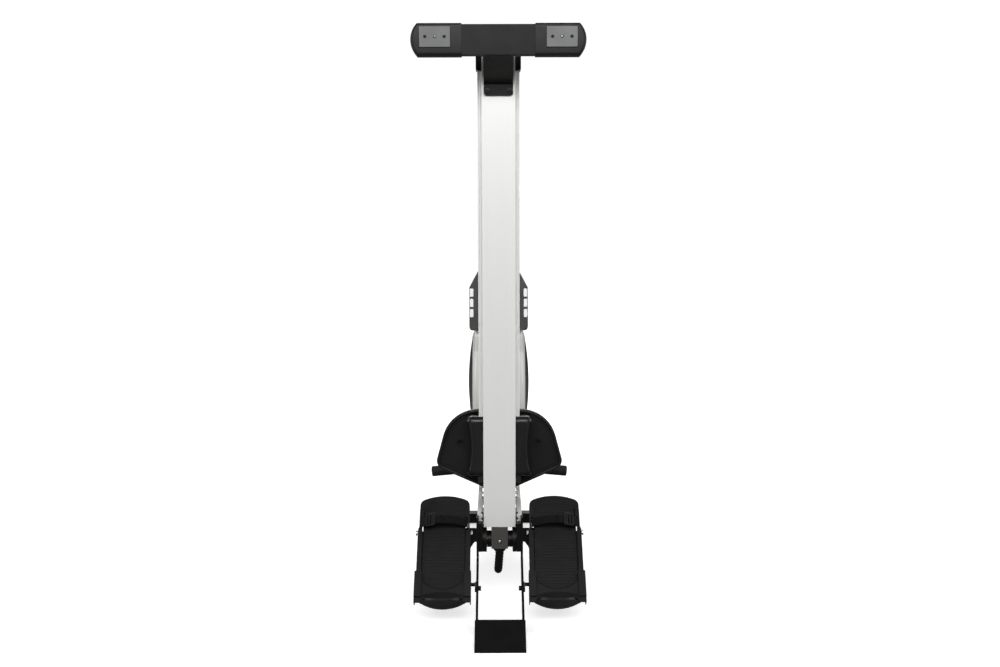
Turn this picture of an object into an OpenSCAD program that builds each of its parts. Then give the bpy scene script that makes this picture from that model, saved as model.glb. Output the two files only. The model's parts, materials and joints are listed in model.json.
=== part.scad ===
// Folding rowing machine, in its folded storage pose.
// The rail stands upright on its fold hinge with its underside toward -Y, and the seat is parked
// at its lower end. +Z is up, and the origin is on the floor under the middle of the machine.

/* [Rail] */
// Length of the aluminium rail
rail_len = 1320; // [1300:10:1400]
// Width of the rail's lower box
box_w = 89; // [88:0.5:90]
// Width over the two roller flanges
flange_w = 114; // [113:0.5:115]

/* [Fold hinge] */
// Hinge axis, distance along Y
hinge_y = -264; // [-265:0.5:-263]
// Hinge axis, height over the floor
hinge_z = 195; // [194:0.5:196]
// Outer diameter of the turning sleeve
sleeve_d = 46; // [44:0.5:46]
// Diameter of the fixed axle
axle_d = 24; // [22:0.5:24]

/* [Rear foot] */
// Overall width of the rear foot
rear_foot_w = 444; // [430:2:480]
// Drop of the foot below the rail's underside
foot_drop = 165; // [163:1:165]

/* [Seat] */
// Width of the seat
seat_w = 357; // [350:1:360]
// Thickness of the seat cushion
cushion_t = 48; // [40:1:50]
// Width over the carriage covers at their ends
cover_w = 176; // [174:1:180]

/* [Footrests] */
// Distance of each footrest's middle from the machine's middle
foot_x = 154.5; // [153:0.5:156]
// Slope of the footrests, in degrees
foot_tilt = 45; // [44.5:0.5:45.5]
// Width of a footplate
foot_w = 140; // [139:0.5:140.5]
// Number of ribs on a footplate
rib_count = 32; // [24:1:36]

/* [Support leg] */
// Distance of the leg's foot edge from the machine's middle
leg_reach = 600; // [590:1:610]
// Width over the two leg bars
leg_w = 128.4; // [128:0.1:129]

/* [Flywheel housing] */
// Flywheel axis, distance along Y
wheel_y = 353; // [350:1:355]
// Flywheel axis, height over the floor
wheel_z = 543; // [540:1:545]
// Radius of the domed mesh covers
dome_r = 158; // [154:1:160]
// Width of the housing at the mesh covers
shell_w = 170; // [168:1:174]
// Width over the two domes
dome_w = 200; // [196:1:204]

/* [Console and handle] */
// Width of the console
console_w = 186; // [184:1:188]
// Backward slope of the console's face, in degrees
console_tilt = 15; // [14:0.5:16]
// Length of the handle
handle_len = 408; // [396:2:420]
// Diameter of the handle's grips
grip_d = 31; // [29:0.5:32]

/* [Hidden] */
$fn = 64;
hull_fn = 48;

// Colours
light_grey = [0.85, 0.85, 0.83];
black = [0.07, 0.07, 0.07];
dark_grey = [0.27, 0.27, 0.25];
pad_grey = [0.57, 0.57, 0.57];
zinc = [0.75, 0.73, 0.68];
white = [0.93, 0.93, 0.93];
steel = [0.6, 0.6, 0.62];

// Rail, in the hinge's frame: Y is across the rail, away from its underside, and Z is along it
rail_start = 42.5;
under = -30;
box_d = 40;
flange_y = 8;
flange_t = 6;
flange_start = 136.2;
track_w = 76;
track_top = 45;
wall = 3;
pad_plane = under - foot_drop;
foot_s = 1309;
foot_half = 41;
pad_x = 160;
pad_s = 1315;
pad_hole_gap = 24.3;
end_cap_s = 1252;
cap_top_s = 1332;
post_bolt_x = 30;
post_bolt_s = 1198;

// Seat, along the rail from its lower end
seat_s = 207;
cover_s0 = 137;
cover_len = 170;
pan_y = 64;
pan_t = 8;
screw_x = 111;
screw_s = 14;
roller_r = 15;
roller_y = flange_y + flange_t + roller_r + 0.3;
roller_s = [171, 273];
stop_s = 1244;

// Footrests: the middle of the foot surface
foot_y = -335.5;
foot_z = 188;
rail_h = 8;
strap_v = 75;
strap_w = 27;
strap_rise = 35;
strap_half = 64;
pivot_v = 56;
pivot_w = -12;

// Leg: slope of the bars, and the place of the stay pins on them
bar_t = 6;
leg_slope = 0.625;
stay_y = -414;
stay_z = 104;

// Drive
drum_y = 165;
drum_z = 395;
belt_x0 = 24;
belt_x1 = 36;
pulley_clear = 3.5;
small_r = 18;
large_r = 70;
plate_x = 40;
plate_t = 4;

// Handle
handle_y = -45;
handle_z = 348;
bar_r = 12;
grip_x0 = 60;
droop = 5;
guide_y = -34;
guide_z = 292;
guide_r = 10.2;

// Console: pivot and keys, on its face
console_y = 180;
console_z = 739;
console_h = 193;
console_d = 32;
shoulder_z = 135;
key_x = 85.5;
key_w = 11;
key_z = [117, 84, 51];
screen_half = 57.8;
screen_z = [33, 171];
pivot_y = 206;
pivot_z = 723;

// Front foot
bar_y0 = 524;
bar_size = 38;
bar_z0 = 4;
wheel_r = 19;
wheel_pos = [131, 581, 22];
bolt_x = 26;
bolt_y = 543;

// ---- Helpers -------------------------------------------------------------------------------

// Points of an arc
function arc(c, r, a0, a1, n) =
    [for (i = [0:n]) c + r * [cos(a0 + (a1 - a0) * i / n), sin(a0 + (a1 - a0) * i / n)]];

// A list of points mirrored in X and turned round, to close a symmetric outline
function mirrored(p) = [for (i = [len(p) - 1:-1:0]) [-p[i][0], p[i][1]]];

module both() {
    children();
    mirror([1, 0, 0]) children();
}

// A flat shape drawn in X and Z, between two places on Y
module slab_y(y0, y1) {
    translate([0, y1, 0]) rotate([90, 0, 0]) linear_extrude(y1 - y0) children();
}

// A flat shape drawn in Y and Z, between two places on X
module slab_x(x0, x1) {
    translate([x0, 0, 0]) rotate([90, 0, 90]) linear_extrude(x1 - x0) children();
}

module rod_x(r, x0, x1, y, z) {
    translate([x0, y, z]) rotate([0, 90, 0]) cylinder(r = r, h = x1 - x0);
}

module rod_y(r, y0, y1, x, z) {
    translate([x, y0, z]) rotate([-90, 0, 0]) cylinder(r = r, h = y1 - y0);
}

// A box given by its lowest and highest corner
module block(a, b) {
    translate(a) cube(b - a);
}

module round_rect(w, h, r) {
    square([w - 2 * r, h], center = true);
    square([w, h - 2 * r], center = true);
    for (sx = [-1, 1], sy = [-1, 1]) {
        translate([sx * (w / 2 - r), sy * (h / 2 - r)]) circle(r);
    }
}

module on_rail() {
    translate([0, hinge_y, hinge_z]) children();
}

// Along the rail from its lower end
module at_s(s) {
    on_rail() translate([0, 0, rail_start + s]) children();
}

// The right footrest's frame: X across, Y along it toward the toe, Z out of the foot surface
module on_foot() {
    translate([foot_x, foot_y, foot_z]) rotate([foot_tilt, 0, 0]) children();
}

module on_console() {
    translate([0, console_y, console_z]) rotate([-console_tilt, 0, 0]) children();
}

// ---- Rail ----------------------------------------------------------------------------------

module box_and_track(grow) {
    translate([-box_w / 2 - grow, under - grow]) square([box_w + 2 * grow, box_d + 2 * grow]);
    translate([-track_w / 2 - grow, 0]) square([track_w + 2 * grow, track_top + grow]);
}

module flanges(grow) {
    translate([-flange_w / 2 - grow, flange_y - grow])
        square([flange_w + 2 * grow, flange_t + 2 * grow]);
}

module rail() {
    line_w = 0.8;
    color(light_grey) on_rail() difference() {
        union() {
            translate([0, 0, rail_start]) linear_extrude(rail_len) box_and_track(0);
            translate([0, 0, rail_start + flange_start])
                linear_extrude(rail_len - flange_start) flanges(0);
        }
        translate([0, 0, rail_start - 1]) linear_extrude(rail_len + 2) {
            translate([-box_w / 2 + wall, under + wall]) square([box_w - 2 * wall, box_d - 2 * wall]);
            translate([-track_w / 2 + wall, under + box_d + wall])
                square([track_w - 2 * wall, track_top - under - box_d - 2 * wall]);
            for (sx = [-1, 1], x = [48, 53]) {
                translate([sx * x - line_w / 2, flange_y - 1]) square([line_w, 1 + line_w]);
            }
        }
    }
}

// Dark bracket that joins the rail to the hinge sleeve and carries the release knob
module lock_bracket() {
    half = 23;
    web_y = -26.8;
    plate = 3.6;
    low = -21;
    color(dark_grey) on_rail() difference() {
        union() {
            block([-half, web_y, low], [half, web_y + plate, 140]);
            both() block([half - plate, web_y, low], [half, 6.5, 140]);
            for (z = [60, 115]) block([-41.4, -20, z], [41.4, 6.5, z + 14]);
        }
        rod_x(sleeve_d / 2 + 0.03, -half - 1, half + 1, 0, 0);
        rod_y(5.85, web_y - 1, web_y + plate + 0.1, 0, -1.5);
    }
}

module hinge_sleeve() {
    color(black) on_rail() difference() {
        rod_x(sleeve_d / 2, -35.6, 35.6, 0, 0);
        rod_x(axle_d / 2 + 0.05, -36, 36, 0, 0);
        translate([0, 0, -sleeve_d / 2 - 1]) cylinder(r = 5.05, h = 14);
    }
}

// Pull knob: flared collar, leaning grip and the plunger that enters the sleeve
module lock_knob() {
    collar_z = -36.5;
    grip = 53;
    grip_r = 11.2;
    color(black) on_rail() difference() {
        union() {
            translate([0, 0, collar_z]) cylinder(r1 = 12.5, r2 = 24, h = 15);
            translate([0, 0, collar_z]) rotate([0, 4.5, 0]) {
                translate([0, 0, -grip]) cylinder(r = grip_r, h = grip + 2);
                translate([0, 0, -grip]) sphere(grip_r);
                for (i = [0:5]) translate([0, 0, 3 - grip + 8.5 * i]) cylinder(r = grip_r + 0.7, h = 3);
            }
            translate([0, 0, collar_z]) cylinder(r = 5, h = 22.5);
        }
        difference() {
            rod_x(sleeve_d / 2 + 0.4, -30, 30, 0, 0);
            translate([0, 0, collar_z]) cylinder(r = 5, h = 22.5);
        }
    }
}

module rail_end_cap() {
    half = 60.5;
    bevel = 4;
    top = cap_top_s - end_cap_s;
    color(black) at_s(end_cap_s) difference() {
        slab_y(-18, track_top + 4) polygon([
            [-half + bevel, 0], [half - bevel, 0], [half, bevel], [half, top - 4], [half - 4, top],
            [-half + 4, top], [-half, top - 4], [-half, bevel]
        ]);
        translate([0, 0, -1]) linear_extrude(rail_len - end_cap_s + 1.1) {
            box_and_track(0.1);
            flanges(0.1);
        }
    }
}

module seat_stops() {
    color(black) on_rail() both() {
        block([box_w / 2, -1, rail_start + 118.5], [60, 20, rail_start + flange_start - 0.2]);
        block([44, flange_y + flange_t, rail_start + stop_s], [55, 31, end_cap_s + rail_start]);
    }
}

module rear_post() {
    half = 39;
    foot_t = 6;
    flange_lo = 1184;
    flange_hi = 1318;
    skin = 4;
    color(black) on_rail() translate([0, 0, rail_start]) difference() {
        union() {
            slab_y(under - foot_t, under) translate([0, (flange_lo + flange_hi) / 2])
                round_rect(2 * half, flange_hi - flange_lo, 8);
            slab_x(-half, half) polygon([
                [under - foot_t, 1213], [pad_plane + 45, 1276], [pad_plane + 45, 1338],
                [under - foot_t, 1314]
            ]);
        }
        slab_x(-half + skin, half - skin) polygon([
            [under - foot_t, 1218], [pad_plane + 44, 1281], [pad_plane + 44, 1333],
            [under - foot_t, 1309]
        ]);
        for (x = [-post_bolt_x, post_bolt_x]) rod_y(4.05, under - foot_t - 1, under + 1, x, post_bolt_s);
    }
}

module foot_tube(grow) {
    half = 37.5;
    block([-188 - grow, pad_plane + 7 - grow, foot_s - half - grow],
        [188 + grow, pad_plane + 45 + grow, foot_s + half + grow]);
}

module rear_stabiliser() {
    skin = 3;
    half = 37.5 - skin;
    color(black) on_rail() translate([0, 0, rail_start]) difference() {
        foot_tube(0);
        block([-189, pad_plane + 7 + skin, foot_s - half], [189, pad_plane + 45 - skin, foot_s + half]);
    }
}

// End caps with a bowed outer edge
module rear_caps() {
    inner = 93;
    bow = 17;
    r = (foot_half * foot_half + bow * bow) / (2 * bow);
    tip = rear_foot_w / 2;
    color(black) on_rail() translate([0, 0, rail_start]) both() difference() {
        slab_y(pad_plane + 4, pad_plane + 48) intersection() {
            translate([inner, foot_s - foot_half]) square([tip - inner, 2 * foot_half]);
            translate([tip - r, foot_s]) circle(r, $fn = 160);
        }
        foot_tube(0.1);
        pad_holes(pad_plane + 3, pad_plane + 7.5);
    }
}

module pad_holes(y0, y1) {
    for (i = [-1:1]) rod_y(4.2, y0, y1, pad_x + pad_hole_gap * i, pad_s);
}

module rear_pads() {
    color(pad_grey) on_rail() translate([0, 0, rail_start]) both() difference() {
        slab_y(pad_plane, pad_plane + 4) translate([pad_x, pad_s]) round_rect(77, 50, 2);
        pad_holes(pad_plane - 1, pad_plane + 5);
    }
}

// Button-head bolts of the rear post, pad screws, and the stud behind the bracket's sight hole
module rail_fasteners() {
    color(black) on_rail() {
        translate([0, 0, rail_start]) {
            for (x = [-post_bolt_x, post_bolt_x]) {
                rod_y(4, under - 6, under - 0.1, x, post_bolt_s);
                rod_y(8, under - 9.5, under - 6, x, post_bolt_s);
            }
            both() for (i = [-1:1]) {
                rod_y(3.6, pad_plane + (i == 0 ? 1 : 3), pad_plane + 7, pad_x + pad_hole_gap * i, pad_s);
            }
        }
        rod_y(4.6, -25.4, -23.1, 0, -1.5);
    }
}

// ---- Seat ----------------------------------------------------------------------------------

// The seat's outline round its middle: broad rounded back, and a shallow V toward the hinge
function seat_half(g) = concat(
    arc([0, 18], 140 - g, -90, -66.5, 8),
    arc([seat_w / 2 - 27, -38], 27 - g, -66.5, 14, 8),
    arc([60, 6], 104 - g, 14, 90, 14)
);

module seat_outline(g) {
    polygon(concat(seat_half(g), mirrored(seat_half(g))));
}

module seat_cushion() {
    color(black) at_s(seat_s)
        slab_y(pan_y + pan_t + 0.3, pan_y + pan_t + cushion_t) seat_outline(2);
}

module seat_pan() {
    rim = 14;
    color(black) at_s(seat_s) difference() {
        union() {
            slab_y(pan_y, pan_y + pan_t) seat_outline(0);
            slab_y(pan_y - 5, pan_y + 0.1) difference() {
                seat_outline(0);
                seat_outline(rim);
            }
            both() for (s = roller_s) rod_y(9, 54, pan_y + 1, 40, s - seat_s);
            both() rod_y(12, pan_y - 3, pan_y + 1, screw_x, screw_s);
        }
        both() rod_y(8.5, pan_y - 4, pan_y + 2, screw_x, screw_s);
    }
}

module seat_screws() {
    color(zinc) at_s(seat_s) both() difference() {
        rod_y(6, pan_y - 0.5, pan_y + 2, screw_x, screw_s);
        rod_y(2, pan_y - 1, pan_y + 1, screw_x, screw_s, $fn = 6);
    }
}

module seat_carriage() {
    side_x = flange_w / 2 + 2;
    side_t = 3.5;
    color(steel) on_rail() translate([0, 0, rail_start]) {
        block([-70, 50, 146], [70, 54, 298]);
        both() {
            block([side_x, 2, 152], [side_x + side_t, 50.1, 292]);
            block([box_w / 2 + 2.4, 2, 152], [side_x + 0.1, 5, 292]);
            for (s = roller_s) rod_x(4, 39, side_x + 0.1, roller_y, s);
        }
    }
}

// Glossy hooked covers over the rollers, waisted at mid length
module cover_outline(g) {
    waist = 9;
    half_len = cover_len / 2;
    r = (half_len * half_len + waist * waist) / (2 * waist);
    difference() {
        translate([box_w / 2 + 1.4 + g, g])
            square([(cover_w - box_w) / 2 - 1.4 - 2 * g, cover_len - 2 * g]);
        translate([cover_w / 2 - waist + r, half_len]) circle(r + g, $fn = 200);
    }
}

module carriage_covers() {
    skin = 3;
    color(black) at_s(cover_s0) both() difference() {
        slab_y(-5, 58.6) cover_outline(0);
        slab_y(-1, 62) cover_outline(skin);
        block([box_w / 2, -1, skin], [flange_w / 2 + 7, 62, cover_len - skin]);
        block([box_w / 2, flange_y - 3, -1], [flange_w / 2 + 1.5, 49, cover_len + 1]);
    }
}

module rollers(s) {
    color(dark_grey) on_rail() translate([0, 0, rail_start]) both() difference() {
        rod_x(roller_r, 40, 54, roller_y, s);
        rod_x(4.05, 39, 55, roller_y, s);
    }
}

module rollers_front() {
    rollers(roller_s[0]);
}

module rollers_rear() {
    rollers(roller_s[1]);
}

// ---- Frame ---------------------------------------------------------------------------------

module main_beam() {
    half = 40;
    color(light_grey) difference() {
        union() {
            slab_x(-half, half) polygon([
                [-134, 262], [40, 262], [566, 96], [566, bar_z0 + bar_size - 3.5],
                [505, bar_z0 + bar_size - 3.5], [30, 200], [-134, 200]
            ]);
            for (y = [-120, 5]) rod_x(13, -58.6, 58.6, y, 231);
        }
        slab_x(-half + wall, half - wall) polygon([
            [-131, 259], [39.5, 259], [563, 93.8], [563, 41.6], [505.5, 41.6], [30.5, 203.1],
            [-131, 203.1]
        ]);
        for (x = [-bolt_x, bolt_x]) translate([x, bolt_y, 80]) cylinder(r = 8.2, h = 40);
    }
}

// Silver side channels either side of the hinge, with notches along their upper flanges
module hinge_cheeks() {
    outer = 62;
    sheet = 3.4;
    inner = 47.5;
    top = 277;
    near = -310;
    far = 26;
    color(light_grey) both() difference() {
        union() {
            block([outer - sheet, near, 185], [outer, far, top]);
            block([inner, near, top - sheet], [outer, far, top]);
            block([inner, near, 259], [outer, near + sheet, top]);
        }
        for (y = [[-57, -10], [-134, -79], [-296, -270]]) {
            block([inner - 1, y[0], top - 5], [inner + 3.5, y[1], top + 1]);
        }
        block([inner - 1, near - 1, 263], [inner + 4, near + 4, 269]);
        rod_x(5.05, outer - sheet - 1, outer + 1, hinge_y, hinge_z);
    }
}

module hinge_axle() {
    color(steel) {
        rod_x(axle_d / 2, -58.4, 58.4, hinge_y, hinge_z);
        rod_x(5, -69, 69, hinge_y, hinge_z);
    }
}

module support_leg() {
    outer = leg_w / 2;
    inner = outer - bar_t;
    top = 277;
    near = -338;
    edge = -leg_reach;
    top_z = 6;
    lug_r = 42;
    color(black) difference() {
        union() {
            both() {
                slab_x(inner, outer) polygon([
                    [-311.5, top], [near, top], [near, top_z + (near - edge) * leg_slope],
                    [edge, top_z], [edge, 0], [edge + 48, 0], [-311.5, top_z - 36 + 288.5 * leg_slope]
                ]);
                block([47.5, -330, 178], [inner + 0.1, -215, 258]);
                difference() {
                    union() {
                        rod_x(lug_r, 36, 47.6, hinge_y, hinge_z);
                        block([36, hinge_y - lug_r, 170.5], [47.6, hinge_y + 30, hinge_z]);
                    }
                    block([35, hinge_y - 50, 100], [48, hinge_y + 50, 170.5]);
                }
            }
            slab_x(-inner - 0.1, inner + 0.1) polygon([
                [edge, top_z - 3], [-515.7, top_z - 3 + 84.3 * leg_slope], [-513.2, 51.5],
                [edge + 4, 0], [edge, 0]
            ]);
            both() slab_x(outer - 0.1, outer + 2.3) polygon([
                [edge, 0], [edge, top_z], [-520, top_z + 80 * leg_slope], [-520, 40], [edge + 46, 0]
            ]);
            both() slab_y(-518.5, -515.5) polygon([
                [inner + 0.1, 44], [inner - 12, 46], [inner - 2, 52], [inner + 0.1, 60]
            ]);
        }
        rod_x(axle_d / 2 + 0.03, -60, 60, hinge_y, hinge_z);
        rod_x(4.05, -70, 70, stay_y, stay_z);
    }
}

module front_stabiliser() {
    color(black) {
        difference() {
            block([-212, bar_y0, bar_z0], [212, bar_y0 + bar_size, bar_z0 + bar_size - 3.5]);
            block([-213, bar_y0 + 2.5, bar_z0 + 2.5],
                [213, bar_y0 + bar_size - 2.5, bar_z0 + bar_size - 6]);
        }
        both() for (x = [wheel_pos[0] - 16, wheel_pos[0] + 12]) difference() {
            block([x, bar_y0 + bar_size, 10], [x + 4, wheel_pos[1] + 9, 34]);
            rod_x(4.03, x - 1, x + 5, wheel_pos[1], wheel_pos[2]);
        }
        both() rod_x(4, wheel_pos[0] - 18, wheel_pos[0] + 18, wheel_pos[1], wheel_pos[2]);
    }
}

module front_caps() {
    color(black) both() difference() {
        slab_y(bar_y0 - 5, bar_y0 + bar_size + 5) {
            translate([182, 0]) square([30, 43]);
            translate([212, 21.5]) circle(21.5);
            translate([212, 0]) square([16, 15]);
        }
        block([181, bar_y0 - 0.1, bar_z0 - 0.1],
            [212.1, bar_y0 + bar_size + 0.1, bar_z0 + bar_size - 3.4]);
    }
}

module wheel(side) {
    x = wheel_pos[0];
    color(black) mirror([side < 0 ? 1 : 0, 0, 0]) difference() {
        rod_x(wheel_r, x - 11.5, x + 11.5, wheel_pos[1], wheel_pos[2]);
        rod_x(4.05, x - 12, x + 12, wheel_pos[1], wheel_pos[2]);
    }
}

module transport_wheel_left() {
    wheel(-1);
}

module transport_wheel_right() {
    wheel(1);
}

module hex_nut(size, h, bore) {
    difference() {
        cylinder(r = size / cos(30) / 2, h = h, $fn = 6);
        translate([0, 0, -1]) cylinder(r = bore, h = h + 2);
    }
}

// Axle nuts, footrest pivot bolts with their nuts, and the two bolts of the front foot
module frame_fasteners() {
    color(zinc) {
        both() {
            translate([62, hinge_y, hinge_z]) rotate([0, 90, 0]) hex_nut(17, 6, 5);
            on_foot() {
                rod_x(4, -79, 76, pivot_v, pivot_w);
                rod_x(7, 76, 80, pivot_v, pivot_w);
                translate([-79, pivot_v, pivot_w]) rotate([0, 90, 0]) hex_nut(13, 5, 4);
            }
        }
        for (x = [-bolt_x, bolt_x]) translate([x, bolt_y, 87]) cylinder(r = 8, h = 22, $fn = 6);
    }
}

// ---- Footrests -----------------------------------------------------------------------------

toe_r = 150;
corner_r = 20;
toe_top = 167;
heel_end = -153;
heel_r = 112;
heel_c = -57;
rail_u0 = 61;
rail_u1 = 73.5;
toe_angle = asin((foot_w / 2 - corner_r) / (toe_r - corner_r));

function foot_half() = concat(
    arc([0, heel_c], heel_r, -90, -59, 6),
    [[foot_w / 2, heel_end + 8]],
    arc([foot_w / 2 - corner_r, toe_top - toe_r + (toe_r - corner_r) * cos(toe_angle)], corner_r,
        0, 90 - toe_angle, 6),
    arc([0, toe_top - toe_r], toe_r, 90 - toe_angle, 90, 10)
);

// Outline of one side rail, which stands out from the plate below the strap slot
function side_rail_half() = [
    [rail_u0, -150], [rail_u1, -150], [rail_u1, 56], [foot_w / 2, 66], [foot_w / 2, 120],
    [foot_w / 2 - 12, 128], [foot_w / 2 - 12, 66], [rail_u0, 56]
];

// The hollow under the foot surface, inside the skirt
function under_half() = [
    [foot_w / 2 - 14, heel_end + 4], [foot_w / 2 - 4, heel_end + 14], [foot_w / 2 - 4, 125],
    [50, 143], [25, 156]
];

module footplate() {
    skirt = 20;
    plate = 6;
    rib_v0 = -118;
    rib_v1 = 150;
    pitch = (rib_v1 - rib_v0) / (rib_count - 1);
    rail_x = foot_w / 2 - 12;
    slot_u0 = 58.5;
    slot_u1 = 66;
    on_foot() difference() {
        union() {
            translate([0, 0, -skirt]) linear_extrude(skirt)
                polygon(concat(foot_half(), mirrored(foot_half())));
            both() translate([0, 0, -skirt / 2]) linear_extrude(rail_h + skirt / 2)
                polygon(side_rail_half());
            for (i = [0:rib_count - 1]) {
                v = rib_v0 + i * pitch;
                half = v > 136 ? 44 : rail_x - 1;
                block([-half, v - 3.2, -0.1], [half, v + 3.2, 1.9]);
            }
        }
        translate([0, 0, -skirt - 1]) linear_extrude(skirt - plate + 1)
            polygon(concat(under_half(), mirrored(under_half())));
        both() block([slot_u0, strap_v - 20, -skirt - 1], [slot_u1, strap_v + 20, rail_h + 1]);
        rod_x(4.05, -80, 80, pivot_v, pivot_w);
    }
}

module footplate_left() {
    color(black) mirror([1, 0, 0]) footplate();
}

module footplate_right() {
    color(black) footplate();
}

// Size-adjusting heel cup: brackets over the side rails, a pad, and a bowed wall with an arched top
module heel_cup() {
    half = 76.5;
    inner = 57.4;
    near = -162;
    far = -76;
    lip = rail_h + 0.5;
    pad_w = 11;
    wall_w = 36;
    top_r = (inner * inner + wall_w * wall_w) / (2 * wall_w);
    on_foot() difference() {
        union() {
            both() {
                block([inner - 0.1, near, lip], [half, far, 24]);
                block([rail_u1 + 0.5, near, -6], [half, far, lip + 0.1]);
                block([inner, near, 2.2], [rail_u0 - 0.5, far, lip + 0.1]);
            }
            block([-inner, near + 8, 2.2], [inner, far - 12, pad_w]);
            intersection() {
                translate([0, 0, 2.2]) linear_extrude(40) difference() {
                    translate([0, heel_c]) circle(heel_r);
                    translate([0, heel_c]) circle(heel_r - 6);
                    translate([-200, -150]) square([400, 400]);
                }
                rod_y(top_r, -200, -140, 0, 2.2 + wall_w - top_r);
            }
        }
        translate([0, -55, 1]) cylinder(r = 70, h = pad_w);
        both() block([inner - 1, near - 1, 16], [half + 1, near + 12, 25]);
    }
}

module heel_cup_left() {
    color(black) mirror([1, 0, 0]) heel_cup();
}

module heel_cup_right() {
    color(black) heel_cup();
}

strap_up = 9;
strap_bow = strap_rise - strap_up;
strap_r = (strap_half * strap_half + strap_bow * strap_bow) / (2 * strap_bow);
strap_c = strap_rise - strap_r;

module strap_band(t0, t1, w) {
    slab_y(strap_v - w / 2, strap_v + w / 2) difference() {
        translate([0, strap_c]) circle(strap_r + t1, $fn = 96);
        translate([0, strap_c]) circle(strap_r + t0, $fn = 96);
        translate([-100, -200]) square([200, 200 + strap_up - 0.1]);
    }
}

module foot_straps() {
    color(black) both() on_foot() {
        strap_band(-1.1, 1.1, strap_w);
        both() block(
            [strap_half - 1.2, strap_v - strap_w / 2, -16],
            [strap_half + 1.1, strap_v + strap_w / 2, strap_up]
        );
    }
}

module strap_buckles() {
    color(black) both() on_foot() intersection() {
        difference() {
            strap_band(1.6, 5, 36);
            for (u = [31, 39]) {
                slab_y(strap_v - 13, strap_v + 13) translate([u, 0]) square([3.4, 60]);
            }
        }
        block([25, 0, 0], [49, 130, 60]);
    }
}

// Welded arms that carry the footrests on the hinge cheeks
module footrest_arms() {
    inner_u = 62 - foot_x;
    color(black) both() on_foot() difference() {
        union() {
            translate([0, 0, -26]) linear_extrude(5.8) polygon([
                [inner_u, 76], [-36, 76], [-36, 6], [-70, 6], [-76, 22], [-84, 34], [inner_u, 38]
            ]);
            block([-62.4, pivot_v - 8, -21], [-40, pivot_v + 8, -6.4]);
        }
        rod_x(4.05, -66, -38, pivot_v, pivot_w);
    }
}

// L-shaped stays from the footrests to the leg bars, with their pins through the bars
module footrest_stays() {
    rod_yz = [-382, 103];
    color(black) both() {
        rod_x(5, 64.4, 97, rod_yz[0], rod_yz[1]);
        slab_x(64.4, 68) polygon([
            [rod_yz[0] + 6, rod_yz[1] - 6], [rod_yz[0] + 6, rod_yz[1] + 6], [rod_yz[0] - 4, rod_yz[1] + 8],
            [stay_y - 8, stay_z + 4], [stay_y - 8, stay_z - 8], [rod_yz[0] - 4, rod_yz[1] - 9]
        ]);
        rod_x(4, 54, 66, stay_y, stay_z);
        rod_x(6.5, 51, leg_w / 2 - bar_t, stay_y, stay_z);
        block([89, rod_yz[0] - 7, rod_yz[1] - 5], [96, rod_yz[0] + 5, rod_yz[1] + 6]);
    }
}

// ---- Drive ---------------------------------------------------------------------------------

module drive_frame() {
    shelf_z = 704;
    lug_x = [18, 24];
    color(steel) {
        both() difference() {
            slab_x(plate_x, plate_x + plate_t) polygon([
                [120, 178], [330, 114], [345, 300], [372, 470], [385, 545], [360, 578],
                [320, 566], [290, 480], [250, shelf_z + 4], [220, shelf_z + 4], [232, 640],
                [205, 575], [150, 470], [128, 400]
            ]);
            rod_x(8.03, 38, 46, wheel_y, wheel_z);
            rod_x(8.03, 38, 46, drum_y, drum_z);
        }
        block([-plate_x - plate_t, 220, shelf_z], [plate_x + plate_t, 250, shelf_z + 4]);
        both() block([lug_x[0], pivot_y - 6, shelf_z + 1], [lug_x[1], 230, pivot_z - 9]);
        both() difference() {
            block([lug_x[0], pivot_y - 6, shelf_z + 1], [lug_x[1], pivot_y + 6, pivot_z + 5]);
            rod_x(4.03, lug_x[0] - 1, lug_x[1] + 1, pivot_y, pivot_z);
        }
    }
}

module drive_axles() {
    color(steel) {
        rod_x(8, -50, 50, wheel_y, wheel_z);
        rod_x(8, -50, 50, drum_y, drum_z);
        rod_x(4, -25, 25, pivot_y, pivot_z);
    }
}

module flywheel() {
    color(steel) translate([0, wheel_y, wheel_z]) difference() {
        union() {
            rod_x(135, -22, -10, 0, 0);
            difference() {
                rod_x(135, -32, 0, 0, 0);
                rod_x(112, -33, 1, 0, 0);
            }
            rod_x(24, -34, belt_x0 - 1, 0, 0);
            rod_x(small_r, belt_x0 - 2, belt_x1 + 1, 0, 0);
        }
        rod_x(8.05, -40, 40, 0, 0);
        for (i = [0:5]) rod_x(17, -30, 0, 70 * cos(60 * i), 70 * sin(60 * i));
    }
}

module drive_pulley() {
    color(black) translate([0, drum_y, drum_z]) difference() {
        union() {
            rod_x(large_r, belt_x0, belt_x1, 0, 0);
            rod_x(large_r + 3, belt_x0 - 2, belt_x0 - 0.3, 0, 0);
            rod_x(22, belt_x0 - pulley_clear, belt_x1 + pulley_clear - 0.5, 0, 0);
        }
        rod_x(8.05, -40, 40, 0, 0);
        for (i = [0:4]) rod_x(13, belt_x0 - 5, belt_x1 + 5, 44 * cos(72 * i), 44 * sin(72 * i));
    }
}

// Closed belt line round the two pulleys, a given distance outside them
module belt_loop(g) {
    gap = [wheel_y - drum_y, wheel_z - drum_z];
    dist = norm(gap);
    turn = atan2(gap[1], gap[0]);
    lean_a = acos((large_r - small_r) / dist);
    polygon(concat(
        arc([drum_y, drum_z], large_r + g, turn + lean_a, turn + 360 - lean_a, 40),
        arc([wheel_y, wheel_z], small_r + g, turn - lean_a, turn + lean_a, 16)
    ));
}

module drive_belt() {
    color(black) slab_x(belt_x0 + 0.5, belt_x1 - 0.5) difference() {
        belt_loop(2.6);
        belt_loop(0.5);
    }
}

module strap_drum() {
    color(dark_grey) translate([0, drum_y, drum_z]) difference() {
        union() {
            rod_x(30, -19, 19, 0, 0);
            rod_x(46, -19, -16, 0, 0);
            rod_x(46, 16, 19, 0, 0);
        }
        rod_x(8.05, -40, 40, 0, 0);
    }
}

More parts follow.
